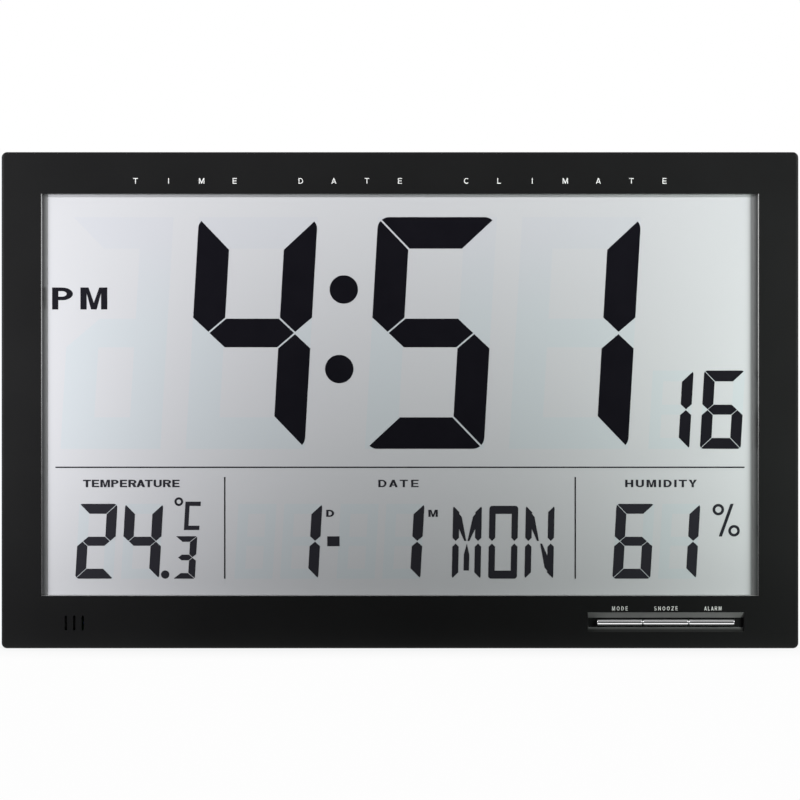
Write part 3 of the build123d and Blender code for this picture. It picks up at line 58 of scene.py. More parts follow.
class Flow:
    """A value on its way through a finish: sums and products of it add Math nodes."""

    def __init__(self, tree, socket):
        self.tree = tree
        self.socket = socket

    def node(self, kind, settings=None, sockets=None, out=0):
        """Adds one node: its settings first, then the values or links of its sockets."""
        made = self.tree.nodes.new(kind)
        for name, value in (settings or {}).items():
            setattr(made, name, value)
        for name, value in (sockets or {}).items():
            if isinstance(value, Flow):
                self.tree.links.new(value.socket, made.inputs[name])
            else:
                made.inputs[name].default_value = value
        return Flow(self.tree, made.outputs[out])

    def math(self, operation, *values):
        """A Math node over one or two values."""
        return self.node("ShaderNodeMath", {"operation": operation}, dict(enumerate(values)))

    def __add__(self, other):
        return self.math("ADD", self, other)

    def __sub__(self, other):
        return self.math("SUBTRACT", self, other)

    def __rsub__(self, other):
        return self.math("SUBTRACT", other, self)

    def __mul__(self, other):
        return self.math("MULTIPLY", self, other)

    __radd__ = __add__
    __rmul__ = __mul__

    def above(self, edge):
        """1 where the value is above an edge and 0 elsewhere."""
        return self.math("GREATER_THAN", self, edge)

    def between(self, low, high):
        """1 where the value lies between two edges and 0 elsewhere."""
        return self.above(low) * (1 - self.above(high))

    def noise(self, size, detail=2.0, stretch=(1.0, 1.0, 1.0)):
        """Even random mottle with patches of a given size in metres, drawn out along the axes."""
        scale = tuple(1.0 / (size * factor) for factor in stretch)
        spread = self.node("ShaderNodeMapping", sockets={"Vector": self, "Scale": scale})
        return spread.node(
            "ShaderNodeTexNoise", sockets={"Vector": spread, "Scale": 1.0, "Detail": detail}
        )

    def axis(self, name):
        """One axis of a place: X, Y or Z."""
        return self.node("ShaderNodeSeparateXYZ", sockets={"Vector": self}, out=name)

    def blend(self, first, second):
        """A colour between two others, by this value from 0 to 1."""
        factor, first_colour, second_colour, blended = 0, 6, 7, 2
        sockets = {factor: self, first_colour: first, second_colour: second}
        return self.node("ShaderNodeMix", {"data_type": "RGBA"}, sockets, out=blended)

    def bump(self, depth):
        """The surface raised by this value, where 1 is a given depth in metres."""
        return self.node("ShaderNodeBump", sockets={"Height": self, "Strength": 1.0, "Distance": depth})


def new_finish(name, **constants):
    """A new material, its shader with the sockets that stay constant, and the place on the piece."""
    finish = bpy.data.materials.new(name)
    finish.use_nodes = True
    tree = finish.node_tree
    shader = tree.nodes["Principled BSDF"]
    for socket, value in constants.items():
        shader.inputs[socket.replace("_", " ")].default_value = value
    place = Flow(tree, tree.nodes.new("ShaderNodeTexCoord").outputs["Object"])
    return finish, shader, place


def feed(shader, socket, value):
    """Links a varying value to one socket of a shader."""
    value.tree.links.new(value.socket, shader.inputs[socket])


def rgba(colour):
    """A colour that covers fully."""
    return (*colour, 1.0)


def dress(finish, *nodes):
    """Gives carried-over solids their finish."""
    for node in nodes:
        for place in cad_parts[node].material_slots:
            place.material = finish


case_black, case_shader, case_place = new_finish(
    "case_black", Specular_IOR_Level=0.1, Coat_IOR=2.2, Coat_Roughness=0.2
)
cloud_size = 45 * mm
cloud_share = 0.6
pore_size = 0.35 * mm
pore_depth = 0.012 * mm
cloud = case_place.noise(size=cloud_size, detail=3.0)
pores = case_place.noise(size=pore_size, detail=3.0)
speckle = cloud * cloud_share + pores * (1 - cloud_share)
satin_black = speckle.blend(rgba((0.0103, 0.0103, 0.0106)), rgba((0.0155, 0.0155, 0.016)))

# The slopes of the key trough are lightened to grey with painted light, as the lamps and the pale table
# would light them.
# The upper one stays black along the keys, and the lower one is palest there.
trough_left, trough_right = 103.4 * mm, 190.2 * mm
trough_bottom, trough_top = -128.1 * mm, -117.0 * mm
least_tilt, most_tilt = 0.2, 0.97
upper_light_end = -120.15 * mm
upper_painted_light = (0.3, 0.3, 0.3)
lower_light_start, lower_light_end = -125.2 * mm, -127.4 * mm
lower_painted_dim = (0.024, 0.024, 0.024)
lower_painted_bright = (0.26, 0.26, 0.26)
facing = case_place.node("ShaderNodeNewGeometry", out="Normal")
tilt = facing.axis("Z")
height = case_place.axis("Z")
across_case = case_place.axis("X")
in_trough = across_case.between(trough_left, trough_right) * height.between(trough_bottom, trough_top)
upper_slope = in_trough * tilt.between(-most_tilt, -least_tilt) * height.above(upper_light_end)
lower_slope = in_trough * tilt.between(least_tilt, most_tilt)
near_keys = (height - lower_light_end) * (1 / (lower_light_start - lower_light_end))
near_keys = near_keys.math("MAXIMUM", near_keys, 0.0)
# Painted light: the lower slope lightens towards the keys, and the upper slope is lightened to an even
# grey.
lower_painted_light = (near_keys * near_keys).blend(rgba(lower_painted_dim), rgba(lower_painted_bright))
black_and_trough_light = lower_slope.blend(satin_black, lower_painted_light)
black_and_trough_light = upper_slope.blend(black_and_trough_light, rgba(upper_painted_light))

# The walls at the left and right of the window are polished and mirror the display.
# Their grey, lighter towards the film, and the grey of the sill are painted reflection of the display.
bezel_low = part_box("front_bezel")[0]
window_reach, window_edge = 194.0 * mm, 199.6 * mm
window_bottom, window_top = -108.2 * mm, 114.2 * mm
window_depth = 5.0 * mm
sill_low, sill_high = -109.6 * mm, -107.0 * mm
wall_tilt = 0.15
rounded_share = 0.16
wall_gloss = 0.75
wall_painted_reflection = (0.26, 0.26, 0.26)
sill_painted_reflection = (0.4, 0.4, 0.4)
from_middle = across_case.math("ABSOLUTE", across_case)
in_window = from_middle.between(window_reach, window_edge) * height.between(window_bottom, window_top)
sideways = facing.axis("X")
wall = in_window * sideways.math("ABSOLUTE", sideways).above(wall_tilt)
depth_in = (case_place.axis("Y") - bezel_low.y) * (1 / window_depth)
rounded_edge = 1 - depth_in.above(rounded_share)
sill = (1 - from_middle.above(window_edge)) * height.between(sill_low, sill_high) * tilt.above(wall_tilt)
# Painted reflection: the sill and the deep part of the side walls are lightened to grey.
black_and_window_light = sill.blend(black_and_trough_light, rgba(sill_painted_reflection))
black_and_window_light = (wall * depth_in * depth_in).blend(black_and_window_light, rgba(wall_painted_reflection))
feed(case_shader, "Base Color", black_and_window_light)
feed(case_shader, "Roughness", 0.26 + 0.1 * cloud + 0.06 * pores)
feed(case_shader, "Coat Weight", wall * depth_in.math("MAXIMUM", rounded_edge, wall_gloss * depth_in))
feed(case_shader, "Normal", pores.bump(pore_depth))
dress(case_black, "front_bezel")

# Printed legends: the spaced words above the window and the names over the three keys.
# Plain grotesque capitals, pad-printed in white ink on the bezel's front face.
# The letters are drawn on a grid one capital high; the ink layer is a few hundredths thick.
ink_layer = 0.05 * mm
letter_widths = {"I": 0.0, "M": 0.95, "N": 0.82, "O": 0.92, "L": 0.66, "E": 0.72, "A": 0.86, "P": 0.735}
usual_letter = 0.8
tucks = {"A": 0.1, "T": 0.03, "Y": 0.03}
bow_step = 15
weld_reach = 0.001 * mm


def bow(middle, radii, first, last):
    """Points along part of an ellipse, from one angle in degrees to another."""
    steps = max(2, round(abs(last - first) / bow_step))
    points = []
    for step in range(steps + 1):
        turn = math.radians(first + (last - first) * step / steps)
        points.append((middle[0] + radii[0] * math.cos(turn), middle[1] + radii[1] * math.sin(turn)))
    return points


def brushed(path, pen):
    """The outline of a pen that follows a smooth path."""
    near, far = [], []
    for step, (x, y) in enumerate(path):
        before = path[max(step - 1, 0)]
        after = path[min(step + 1, len(path) - 1)]
        along = Vector((after[0] - before[0], after[1] - before[1])).normalized() * pen / 2
        near.append((x - along.y, y + along.x))
        far.append((x + along.y, y - along.x))
    return near + far[::-1]


def outlines(letter, pen, wide):
    """The closed outlines of a capital one high and so wide, drawn with a pen so thick."""
    half = wide / 2
    far = wide - pen
    top = 1 - pen
    low, high = 0.5 - pen / 2, 0.5 + pen / 2
    left, right = half - pen / 2, half + pen / 2
    if letter == "I":
        return [[(0, 0), (pen, 0), (pen, 1), (0, 1)]]
    if letter == "T":
        stem = [(right, top), (right, 0), (left, 0), (left, top)]
        return [[(0, 1), (wide, 1), (wide, top), *stem, (0, top)]]
    if letter == "L":
        return [[(0, 0), (wide, 0), (wide, pen), (pen, pen), (pen, 1), (0, 1)]]
    if letter == "E":
        arm = 0.93 * wide
        foot = [(0, 0), (wide, 0), (wide, pen), (pen, pen)]
        middle = [(pen, low), (arm, low), (arm, high), (pen, high)]
        return [[*foot, *middle, (pen, top), (wide, top), (wide, 1), (0, 1)]]
    if letter == "H":
        feet = [(0, 0), (pen, 0), (pen, low), (far, low), (far, 0), (wide, 0)]
        return [[*feet, (wide, 1), (far, 1), (far, high), (pen, high), (pen, 1), (0, 1)]]
    if letter == "N":
        left_side = [(0, 0), (pen, 0), (pen, 0.68)]
        right_side = [(far, 0), (wide, 0), (wide, 1), (far, 1), (far, 0.32)]
        return [[*left_side, *right_side, (pen, 1), (0, 1)]]
    if letter == "M":
        nib = 0.45 * pen
        crown = 1.3 * pen
        feet = [(0, 0), (pen, 0), (pen, 0.74), (half - nib, 0), (half + nib, 0), (far, 0.74), (far, 0)]
        return [[*feet, (wide, 0), (wide, 1), (wide - crown, 1), (half, 0.3), (crown, 1), (0, 1)]]
    if letter == "Z":
        heel = 1.35 * pen
        lower = [(0, 0), (wide, 0), (wide, pen), (heel, pen), (wide, top)]
        return [[*lower, (wide, 1), (0, 1), (0, top), (wide - heel, top), (0, pen)]]
    if letter == "Y":
        arm = 1.2 * pen
        fork = 0.42
        stem = [(left, 0), (right, 0), (right, fork)]
        return [[*stem, (wide, 1), (wide - arm, 1), (half, 0.6), (arm, 1), (0, 1), (left, fork)]]
    if letter == "A":
        leg = 1.1 * pen
        lean_in = half - 0.55 * pen
        bar_low = 0.22
        bar_high = bar_low + 0.8 * pen
        under = leg + lean_in * bar_low
        over = leg + lean_in * bar_high
        peak = (half - leg) / lean_in
        feet = [(0, 0), (leg, 0), (under, bar_low), (wide - under, bar_low), (wide - leg, 0), (wide, 0)]
        counter = [(over, bar_high), (wide - over, bar_high), (half, peak)]
        return [[*feet, (half + 0.55 * pen, 1), (half - 0.55 * pen, 1)], counter]
    if letter in "PR":
        waist = 0.42
        belly = (1 - waist) / 2
        centre = (wide - belly, 1 - belly)
        round_side = bow(centre, (belly, belly), -90, 90)
        counter = bow(centre, (belly - pen, belly - pen), -90, 90)
        leg = []
        if letter == "R":
            hip = 0.42 * wide
            leg = [(hip, waist), (wide - 1.15 * pen, 0), (wide, 0), (hip + 1.3 * pen, waist)]
        outside = [(0, 0), (pen, 0), (pen, waist), *leg, *round_side, (0, 1)]
        return [outside, [(pen, waist + pen), *counter, (pen, top)]]
    if letter == "D":
        centre = (0.42 * wide, 0.5)
        belly = 0.58 * wide
        round_side = bow(centre, (belly, 0.5), -90, 90)
        counter = bow(centre, (belly - pen, 0.5 - pen), -90, 90)
        return [[(0, 0), *round_side, (0, 1)], [(pen, pen), *counter, (pen, top)]]
    if letter == "O":
        ring = bow((half, 0.5), (half, 0.5), 0, 345)
        return [ring, bow((half, 0.5), (half - pen, 0.5 - pen), 0, 345)]
    if letter == "U":
        cup = bow((half, half), (left, left), 180, 360)
        return [brushed([(pen / 2, 1), *cup, (wide - pen / 2, 1)], pen)]
    if letter == "C":
        return [brushed(bow((half, 0.5), (left, low), 48, 312), pen)]
    rise = top / 4
    upper = bow((half, 0.5 + rise), (left, rise), 25, 270)
    lower = bow((half, 0.5 - rise), (left, rise), 90, -155)
    return [brushed([*upper, *lower[1:]], pen)]


def ink_word(name, letters, middle, base, size, back, ink, weight, gap, narrow=1.0, layer=ink_layer):
    """Upright lettering as a thin layer of ink on a face that looks to the front.

    Letters drawn narrow are widened to the size of the word, which makes their uprights bold.
    """
    drawing = bpy.data.curves.new(name, "CURVE")
    drawing.dimensions = "2D"
    drawing.fill_mode = "BOTH"
    drawing.extrude = 0.5
    pen_x = 0.0
    for letter in letters:
        width = max(weight, narrow * letter_widths.get(letter, usual_letter))
        pen_x -= tucks.get(letter, 0.0)
        for outline in outlines(letter, weight, width):
            loop = drawing.splines.new("POLY")
            loop.points.add(len(outline) - 1)
            loop.use_cyclic_u = True
            for point, (x, y) in zip(loop.points, outline):
                point.co = (pen_x + x, y, 0, 1)
        pen_x += width + gap - tucks.get(letter, 0.0)
    word = bpy.data.objects.new(name, drawing)
    bpy.context.scene.collection.objects.link(word)
    bpy.ops.object.select_all(action="DESELECT")
    word.select_set(True)
    bpy.context.view_layer.objects.active = word
    bpy.ops.object.convert(target="MESH")
    word = bpy.context.object
    spots = [vertex.co for vertex in word.data.vertices]
    low = Vector(min(spot[axis] for spot in spots) for axis in range(3))
    high = Vector(max(spot[axis] for spot in spots) for axis in range(3))
    wide, tall, thick = (new / old for new, old in zip((*size, layer), high - low))
    word.data.transform(Matrix.Translation(-Vector(((low.x + high.x) / 2, low.y, low.z))))
    word.data.transform(Matrix.Diagonal((wide, tall, thick, 1.0)))
    word.data.transform(Matrix.Rotation(math.pi / 2, 4, "X"))
    word.data.transform(Matrix.Translation((middle, back, base)))
    bpy.ops.object.mode_set(mode="EDIT")
    bpy.ops.mesh.select_all(action="SELECT")
    bpy.ops.mesh.remove_doubles(threshold=weld_reach)
    bpy.ops.mesh.normals_make_consistent(inside=False)
    bpy.ops.object.mode_set(mode="OBJECT")
    word.data.materials.append(ink)
    return word


def joined(name, pieces):
    """Several meshes as one piece."""
    bpy.ops.object.select_all(action="DESELECT")
    for piece in pieces:
        piece.select_set(True)
    bpy.context.view_layer.objects.active = pieces[0]
    bpy.ops.object.join()
    whole = bpy.context.object
    whole.name = name
    whole.data.name = name
    return whole


legend_white, legend_shader, legend_place = new_finish("legend_white", Specular_IOR_Level=0.3)
coverage = legend_place.noise(size=0.4 * mm, detail=3.0)
feed(legend_shader, "Base Color", coverage.blend(rgba((0.86, 0.86, 0.86)), rgba((0.94, 0.94, 0.93))))
feed(legend_shader, "Roughness", 0.45 + 0.2 * coverage)

legend_words = "TIME DATE CLIMATE"
legend_reach = 146.0 * mm
legend_base = 119.5 * mm
legend_tall = 3.1 * mm
legend_stroke = 0.14
legend_pitch = 2 * legend_reach / (len(legend_words) - 1)
legend_letters = []
for step, letter in enumerate(legend_words):
    if letter == " ":
        continue
    wide = max(legend_stroke, letter_widths.get(letter, usual_letter)) * legend_tall
    legend_letters.append(
        ink_word(
            f"legend_letter_{step}",
            letter,
            middle=step * legend_pitch - legend_reach,
            base=legend_base,
            size=(wide, legend_tall),
            back=bezel_low.y,
            ink=legend_white,
            weight=legend_stroke,
            gap=0.0,
        )
    )
top_legend = joined("top_legend", legend_letters)
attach(top_legend, "case")

key_name_base = -116.05 * mm
key_name_tall = 2.2 * mm
key_name_stroke = 0.14
key_name_gap = 0.42
key_name_narrow = 0.77
for key, letters, wide, shift in (
    ("mode_key", "MODE", 8.7 * mm, 0.0),
    ("snooze_key", "SNOOZE", 13.0 * mm, 0.0),
    ("alarm_key", "ALARM", 9.5 * mm, 0.5 * mm),
):
    key_low, key_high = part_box(key)
    key_name = ink_word(
        f"{key}_name",
        letters,
        middle=(key_low.x + key_high.x) / 2 + shift,
        base=key_name_base,
        size=(wide, key_name_tall),
        back=bezel_low.y,
        ink=legend_white,
        weight=key_name_stroke,
        gap=key_name_gap,
        narrow=key_name_narrow,
    )
    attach(key_name, "case")

# Bar keys: three half-round caps in the trough, each on its own guide behind the bezel.
# Moulded, then chrome-plated bright; plating leaves a faint ripple and a film of handling.
key_chrome, chrome_shader, chrome_place = new_finish("key_chrome", Metallic=1.0)
ripple = chrome_place.noise(size=6 * mm, detail=1.0, stretch=(2.0, 1.0, 1.0))
film_of_use = chrome_place.noise(size=2.5 * mm, detail=4.0)
feed(
    chrome_shader,
    "Base Color",
    film_of_use.blend(rgba((0.86, 0.865, 0.875)), rgba((0.93, 0.935, 0.945))),
)
feed(chrome_shader, "Roughness", 0.03 + 0.05 * film_of_use)
feed(chrome_shader, "Normal", ripple.bump(0.004 * mm))
dress(key_chrome, "mode_key", "snooze_key", "alarm_key")

# Display film: the polariser on the front of the display, which gives it its silver-grey look.
# A stretched plastic film with an anti-glare surface, glued to the glass; its tint drifts a little.
# Its left and right edges are darkened with painted shade, where the window's walls shade it, the right
# one more deeply.
film_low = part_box("front_polariser")[0]
film_grey = (0.60, 0.602, 0.633)
film_pale = (0.628, 0.632, 0.654)
film_drift = 90 * mm
drift_share = 0.7
film_grain = 0.22 * mm
film_relief = 0.004 * mm
fade_start, fade_end = 40 * mm, 90 * mm
side_shades = ((1, 193.8 * mm, 1.05 * mm, 0.55), (-1, 194.3 * mm, 0.83 * mm, 0.22))
deepest_shade = 0.7


def film_finish(name, colour, pale, top=None):
    """A matt display film with a fine anti-glare grain, whose tint may change towards the top, and with
    painted shade along its left and right edges.
    """
    finish, shader, place = new_finish(name, Specular_IOR_Level=0.15)
    drift = place.noise(size=film_drift, detail=1.0)
    sparkle = place.noise(size=film_grain, detail=2.0)
    tint = (drift * drift_share + sparkle * (1 - drift_share)).blend(rgba(colour), rgba(pale))
    if top:
        rise = (place.axis("Z") - fade_start) * (1 / (fade_end - fade_start))
        tint = rise.blend(tint, rgba(top))
    # Painted shade along the film's left and right edges, deepest at the right.
    shade = 0.0
    for side, edge, reach, share in side_shades:
        outward = (side * place.axis("X") - edge) * (1 / reach)
        shade = outward.math("EXPONENT", outward) * share + shade
    shade = shade.math("MINIMUM", shade, deepest_shade)
    feed(shader, "Base Color", shade.blend(tint, rgba((0, 0, 0))))
    feed(shader, "Roughness", 0.52 + 0.12 * sparkle)
    feed(shader, "Normal", sparkle.bump(film_relief))
    return finish


display_film = film_finish("display_film", film_grey, film_pale)
dress(display_film, "front_polariser")

# Dark image: the areas of the liquid crystal that are switched on, with the fixed hairlines.
# They show as blue-black plates on the film, slightly uneven where the field thins out.
# The large figures are the darkest; the seconds and the small fields are driven more weakly.
field_size = 14 * mm


def ink_finish(name, colour, pale):
    """Switched-on liquid crystal under the film's anti-glare grain."""
    finish, shader, place = new_finish(name, Specular_IOR_Level=0.04)
    field = place.noise(size=field_size, detail=2.0)
    grain = place.noise(size=film_grain, detail=2.0)
    feed(shader, "Base Color", field.blend(rgba(colour), rgba(pale)))
    feed(shader, "Roughness", 0.5 + 0.14 * grain)
    feed(shader, "Normal", grain.bump(film_relief))
    return finish


time_ink = ink_finish("time_ink", (0.0054, 0.0051, 0.0078), (0.0086, 0.0081, 0.0116))
dress(time_ink, "time_segments", "divider_lines")
seconds_ink = ink_finish("seconds_ink", (0.0105, 0.01, 0.0138), (0.0135, 0.0129, 0.0172))
dress(seconds_ink, "seconds_segments")
field_ink = ink_finish("field_ink", (0.0236, 0.023, 0.0293), (0.0293, 0.0286, 0.0357))
dress(
    field_ink,
    "temperature_segments",
    "date_segments",
    "weekday_segments",
    "humidity_segments",
)

# Display words: the fixed names of the fields, part of the display's own image.
# Etched in the same layer as the figures, so they stand level with them and have their colour.
# Each line of words has its own foot and height.
plate_layer = film_low.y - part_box("time_segments")[0].y
pm_line = (50.15 * mm, 12.15 * mm)
label_line = (-48.1 * mm, 4.1 * mm)
unit_line = (-64.5 * mm, 3.9 * mm)
for name, letters, ink, middle, wide, (base, tall), weight, gap, narrow in (
    ("word_pm", "PM", seconds_ink, -177.1 * mm, 30.5 * mm, pm_line, 0.165, 0.2, 0.75),
    ("word_temperature", "TEMPERATURE", field_ink, -148.6 * mm, 53.4 * mm, label_line, 0.185, 0.1, 0.79),
    ("word_date", "DATE", field_ink, -0.85 * mm, 22.2 * mm, label_line, 0.165, 0.29, 0.8),
    ("word_humidity", "HUMIDITY", field_ink, 144.3 * mm, 39.6 * mm, label_line, 0.185, 0.2, 0.8),
    ("word_day", "D", field_ink, -38.6 * mm, 4.4 * mm, unit_line, 0.2, 0.0, 0.85),
    ("word_month", "M", field_ink, 18.3 * mm, 5.2 * mm, unit_line, 0.19, 0.0, 0.85),
):
    word = ink_word(
        name,
        letters,
        middle=middle,
        base=base,
        size=(wide, tall),
        back=film_low.y,
        ink=ink,
        weight=weight,
        gap=gap,
        narrow=narrow,
        layer=plate_layer,
    )
    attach(word, "case")

# Unlit figures: the segments that are switched off still show faintly, a touch bluer than the film.
# In the display they are clear electrodes between the glasses; here a skin on the film, under the image.
# Towards the top of the display they all but fade into the film.
unlit_layer = 0.03 * mm
lean = 0.0571
unlit_grey = (0.566, 0.602, 0.638)
unlit_pale = (0.595, 0.632, 0.66)
unlit_top = (0.595, 0.604, 0.643)
unlit_film = film_finish("unlit_film", unlit_grey, unlit_pale, top=unlit_top)


def unlit_figure(name, left, base, size, stroke, bar, middle_bar, open_left=False):
    """A seven-segment figure with all its strokes, cut from a plate as wide and tall as its cell.

    An open figure lacks its upper left stroke, and its top and middle strokes end there in mitres.
    """
    width, height = size
    bpy.ops.object.select_all(action="DESELECT")
    bpy.ops.mesh.primitive_plane_add(size=1.0, rotation=(math.pi / 2, 0, 0))
    figure = bpy.context.object
    figure.name = name
    bpy.ops.object.transform_apply(location=False, rotation=True, scale=False)
    figure.data.transform(Matrix.Translation((0.5, 0.0, 0.5)))
    figure.data.transform(Matrix.Diagonal((width, 1.0, height, 1.0)))
    waist = (height - middle_bar) / 2
    bpy.ops.object.mode_set(mode="EDIT")
    bpy.ops.mesh.select_mode(type="FACE")
    for cut in (stroke, width - stroke):
        bpy.ops.mesh.select_all(action="SELECT")
        bpy.ops.mesh.bisect(plane_co=(cut, 0, 0), plane_no=(1, 0, 0))
    for cut in (bar, waist, waist + middle_bar, height - bar):
        bpy.ops.mesh.select_all(action="SELECT")
        bpy.ops.mesh.bisect(plane_co=(0, 0, cut), plane_no=(0, 0, 1))
    if open_left:
        for start, normal in ((waist, (-middle_bar, 0, stroke)), (height, (bar, 0, stroke))):
            bpy.ops.mesh.select_all(action="SELECT")
            bpy.ops.mesh.bisect(plane_co=(0, 0, start), plane_no=normal)
    bpy.ops.mesh.select_all(action="DESELECT")
    bpy.ops.object.mode_set(mode="OBJECT")
    for face in figure.data.polygons:
        spot = face.center
        across = spot.x / stroke
        lower = bar < spot.z < waist
        upper = waist + middle_bar < spot.z < height - bar
        inside = stroke < spot.x < width - stroke
        mitred = waist + middle_bar * across < spot.z < height - bar * across
        missing = open_left and across < 1 and mitred
        face.select = missing or (inside and (lower or upper))
    bpy.ops.object.mode_set(mode="EDIT")
    bpy.ops.mesh.delete(type="FACE")
    bpy.ops.object.mode_set(mode="OBJECT")
    slope = Matrix.Identity(4)
    slope[0][2] = lean
    figure.data.transform(Matrix.Translation((left, film_low.y, base)) @ slope)
    skin = figure.modifiers.new("skin", "SOLIDIFY")
    skin.thickness = unlit_layer
    skin.offset = 1.0
    bpy.ops.object.modifier_apply(modifier=skin.name)
    figure.data.materials.append(unlit_film)
    return figure


time_base = -26.9 * mm
time_tall = 128.1 * mm
digit_size = (65.7 * mm, time_tall)
ten_hours_size = (55.2 * mm, time_tall)
ten_hours_left = -187.7 * mm
hours_left = -118.5 * mm
ten_minutes_left = -19.4 * mm
minutes_left = 60.3 * mm
time_cells = {"stroke": 17.7 * mm, "bar": 17.4 * mm, "middle_bar": 15.8 * mm}
time_figures = [
    unlit_figure("ten_hours", ten_hours_left, time_base, ten_hours_size, open_left=True, **time_cells)
]
for name, left in (("hours", hours_left), ("ten_minutes", ten_minutes_left), ("minutes", minutes_left)):
    time_figures.append(unlit_figure(name, left, time_base, digit_size, **time_cells))

second_size = (22.6 * mm, 43.3 * mm)
second_cells = {"stroke": 6.1 * mm, "bar": 6.0 * mm, "middle_bar": 5.5 * mm}
second_left = 137.3 * mm
second_pitch = 28.45 * mm
for name, step in (("ten_seconds", 0), ("seconds", 1)):
    left = second_left + step * second_pitch
    time_figures.append(unlit_figure(name, left, time_base, second_size, **second_cells))

small_base = -98.7 * mm
small_size = (21.0 * mm, 41.4 * mm)
small_pitch = 25.3 * mm
small_cells = {"stroke": 5.7 * mm, "bar": 5.5 * mm, "middle_bar": 5.0 * mm}
temperature_left = -179.55 * mm
day_left = -66.3 * mm
month_left = -9.8 * mm
humidity_left = 117.4 * mm
field_figures = []
for name, left in (
    ("ten_degrees", temperature_left),
    ("degrees", temperature_left + small_pitch),
    ("ten_days", day_left - small_pitch),
    ("days", day_left),
    ("ten_months", month_left - small_pitch),
    ("months", month_left),
    ("ten_percent", humidity_left),
    ("percent", humidity_left + small_pitch),
):
    field_figures.append(unlit_figure(name, left, small_base, small_size, **small_cells))
for name, figures in (("unlit_time_figures", time_figures), ("unlit_field_figures", field_figures)):
    unlit = joined(name, figures)
    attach(unlit, "case")

# Glasses, seal and reflector: the sandwich behind the film.
# Two panes of float glass held apart by a printed seal, with a silvered diffusing film behind.
clear_glass, glass_shader, glass_place = new_finish("clear_glass", Transmission_Weight=1.0, IOR=1.52)
glass_bloom = glass_place.noise(size=60 * mm, detail=2.0)
feed(glass_shader, "Base Color", glass_bloom.blend(rgba((0.86, 0.93, 0.9)), rgba((0.92, 0.96, 0.94))))
feed(glass_shader, "Roughness", 0.02 + 0.04 * glass_bloom)
dress(clear_glass, "front_glass", "rear_glass")


def moulded_plastic(name, colour, pale, roughness, grain, depth):
    """Moulded plastic: a grain from the mould, with mottled colour and gloss."""
    finish, shader, place = new_finish(name)
    cloud = place.noise(size=cloud_size, detail=3.0)
    pores = place.noise(size=grain, detail=3.0)
    speckle = cloud * cloud_share + pores * (1 - cloud_share)
    feed(shader, "Base Color", speckle.blend(rgba(colour), rgba(pale)))
    feed(shader, "Roughness", roughness - 0.08 + 0.1 * cloud + 0.06 * pores)
    feed(shader, "Normal", pores.bump(depth))
    return finish


seal_grey = moulded_plastic(
    "seal_grey",
    colour=(0.2, 0.2, 0.2),
    pale=(0.28, 0.28, 0.28),
    roughness=0.7,
    grain=0.3 * mm,
    depth=0.01 * mm,
)
dress(seal_grey, "lcd_seal")

tarnish_scale = 30


def metal_finish(name, colour, pale, roughness, grain, stretch, depth):
    """Bare or plated metal, with marks drawn out along its rolling direction."""
    finish, shader, place = new_finish(name, Metallic=1.0)
    lines = place.noise(size=grain, detail=4.0, stretch=stretch)
    tarnish = place.noise(size=tarnish_scale * grain, detail=3.0)
    feed(shader, "Base Color", tarnish.blend(rgba(colour), rgba(pale)))
    feed(shader, "Roughness", roughness - 0.1 + 0.15 * lines + 0.1 * tarnish)
    feed(shader, "Normal", lines.bump(depth))
    return finish


reflector_silver = metal_finish(
    "reflector_silver",
    colour=(0.68, 0.69, 0.7),
    pale=(0.8, 0.81, 0.82),
    roughness=0.55,
    grain=0.2 * mm,
    stretch=(1.0, 1.0, 1.0),
    depth=0.01 * mm,
)
dress(reflector_silver, "reflector")

# Display frame: a tray that clamps the sandwich into the bezel, with bosses for the boards.
# Moulded in dark grey plastic and held by small screws round its edge.
frame_grey = moulded_plastic(
    "frame_grey",
    colour=(0.045, 0.045, 0.049),
    pale=(0.07, 0.07, 0.075),
    roughness=0.55,
    grain=0.5 * mm,
    depth=0.02 * mm,
)
dress(frame_grey, "lcd_frame")

# Display ribbon: the flexible circuit from the contact ledge to the main board.
# Amber polyimide with copper lines along its length, pressed into a cream connector.
flex_amber, flex_shader, flex_place = new_finish("flex_amber", Specular_IOR_Level=0.5)
track_pitch = 1.0 * mm
gap_share = 0.28
track_height = 0.02 * mm
across_flex = flex_place.axis("X")
tracks = across_flex.math("PINGPONG", across_flex, track_pitch / 2).above(track_pitch * gap_share)
feed(flex_shader, "Base Color", tracks.blend(rgba((0.42, 0.24, 0.04)), rgba((0.5, 0.2, 0.06))))
feed(flex_shader, "Roughness", 0.3 + 0.12 * flex_place.noise(size=3 * mm))
feed(flex_shader, "Normal", tracks.bump(track_height))
dress(flex_amber, "lcd_flex")

part_cream = moulded_plastic(
    "part_cream",
    colour=(0.6, 0.56, 0.43),
    pale=(0.7, 0.66, 0.52),
    roughness=0.5,
    grain=0.4 * mm,
    depth=0.01 * mm,
)
dress(part_cream, "flex_connector")

# Circuit boards: main, receiver, sensor and key board.
# Glass-fibre laminate under green solder mask, with copper tracks that lift the mask a little.
board_green, board_shader, board_place = new_finish("board_green", Specular_IOR_Level=0.5)
net_size = 6 * mm
net_disorder = 0.35
copper_reach = 0.09
copper_show = 0.8
copper_height = 0.03 * mm
weave_share = 0.15
net = board_place.node(
    "ShaderNodeTexVoronoi",
    {"feature": "DISTANCE_TO_EDGE", "distance": "EUCLIDEAN"},
    {"Vector": board_place, "Scale": 1.0 / net_size, "Randomness": net_disorder},
)
copper = 1 - net.above(copper_reach)
weave = board_place.noise(size=0.8 * mm, detail=2.0)
mask_colour = weave.blend(rgba((0.012, 0.085, 0.034)), rgba((0.02, 0.115, 0.05)))
feed(board_shader, "Base Color", (copper * copper_show).blend(mask_colour, rgba((0.04, 0.2, 0.075))))
feed(board_shader, "Roughness", 0.28 + 0.14 * weave)
feed(board_shader, "Normal", (copper + weave_share * weave).bump(copper_height))
dress(board_green, "main_board", "receiver_board", "sensor_board", "key_board")

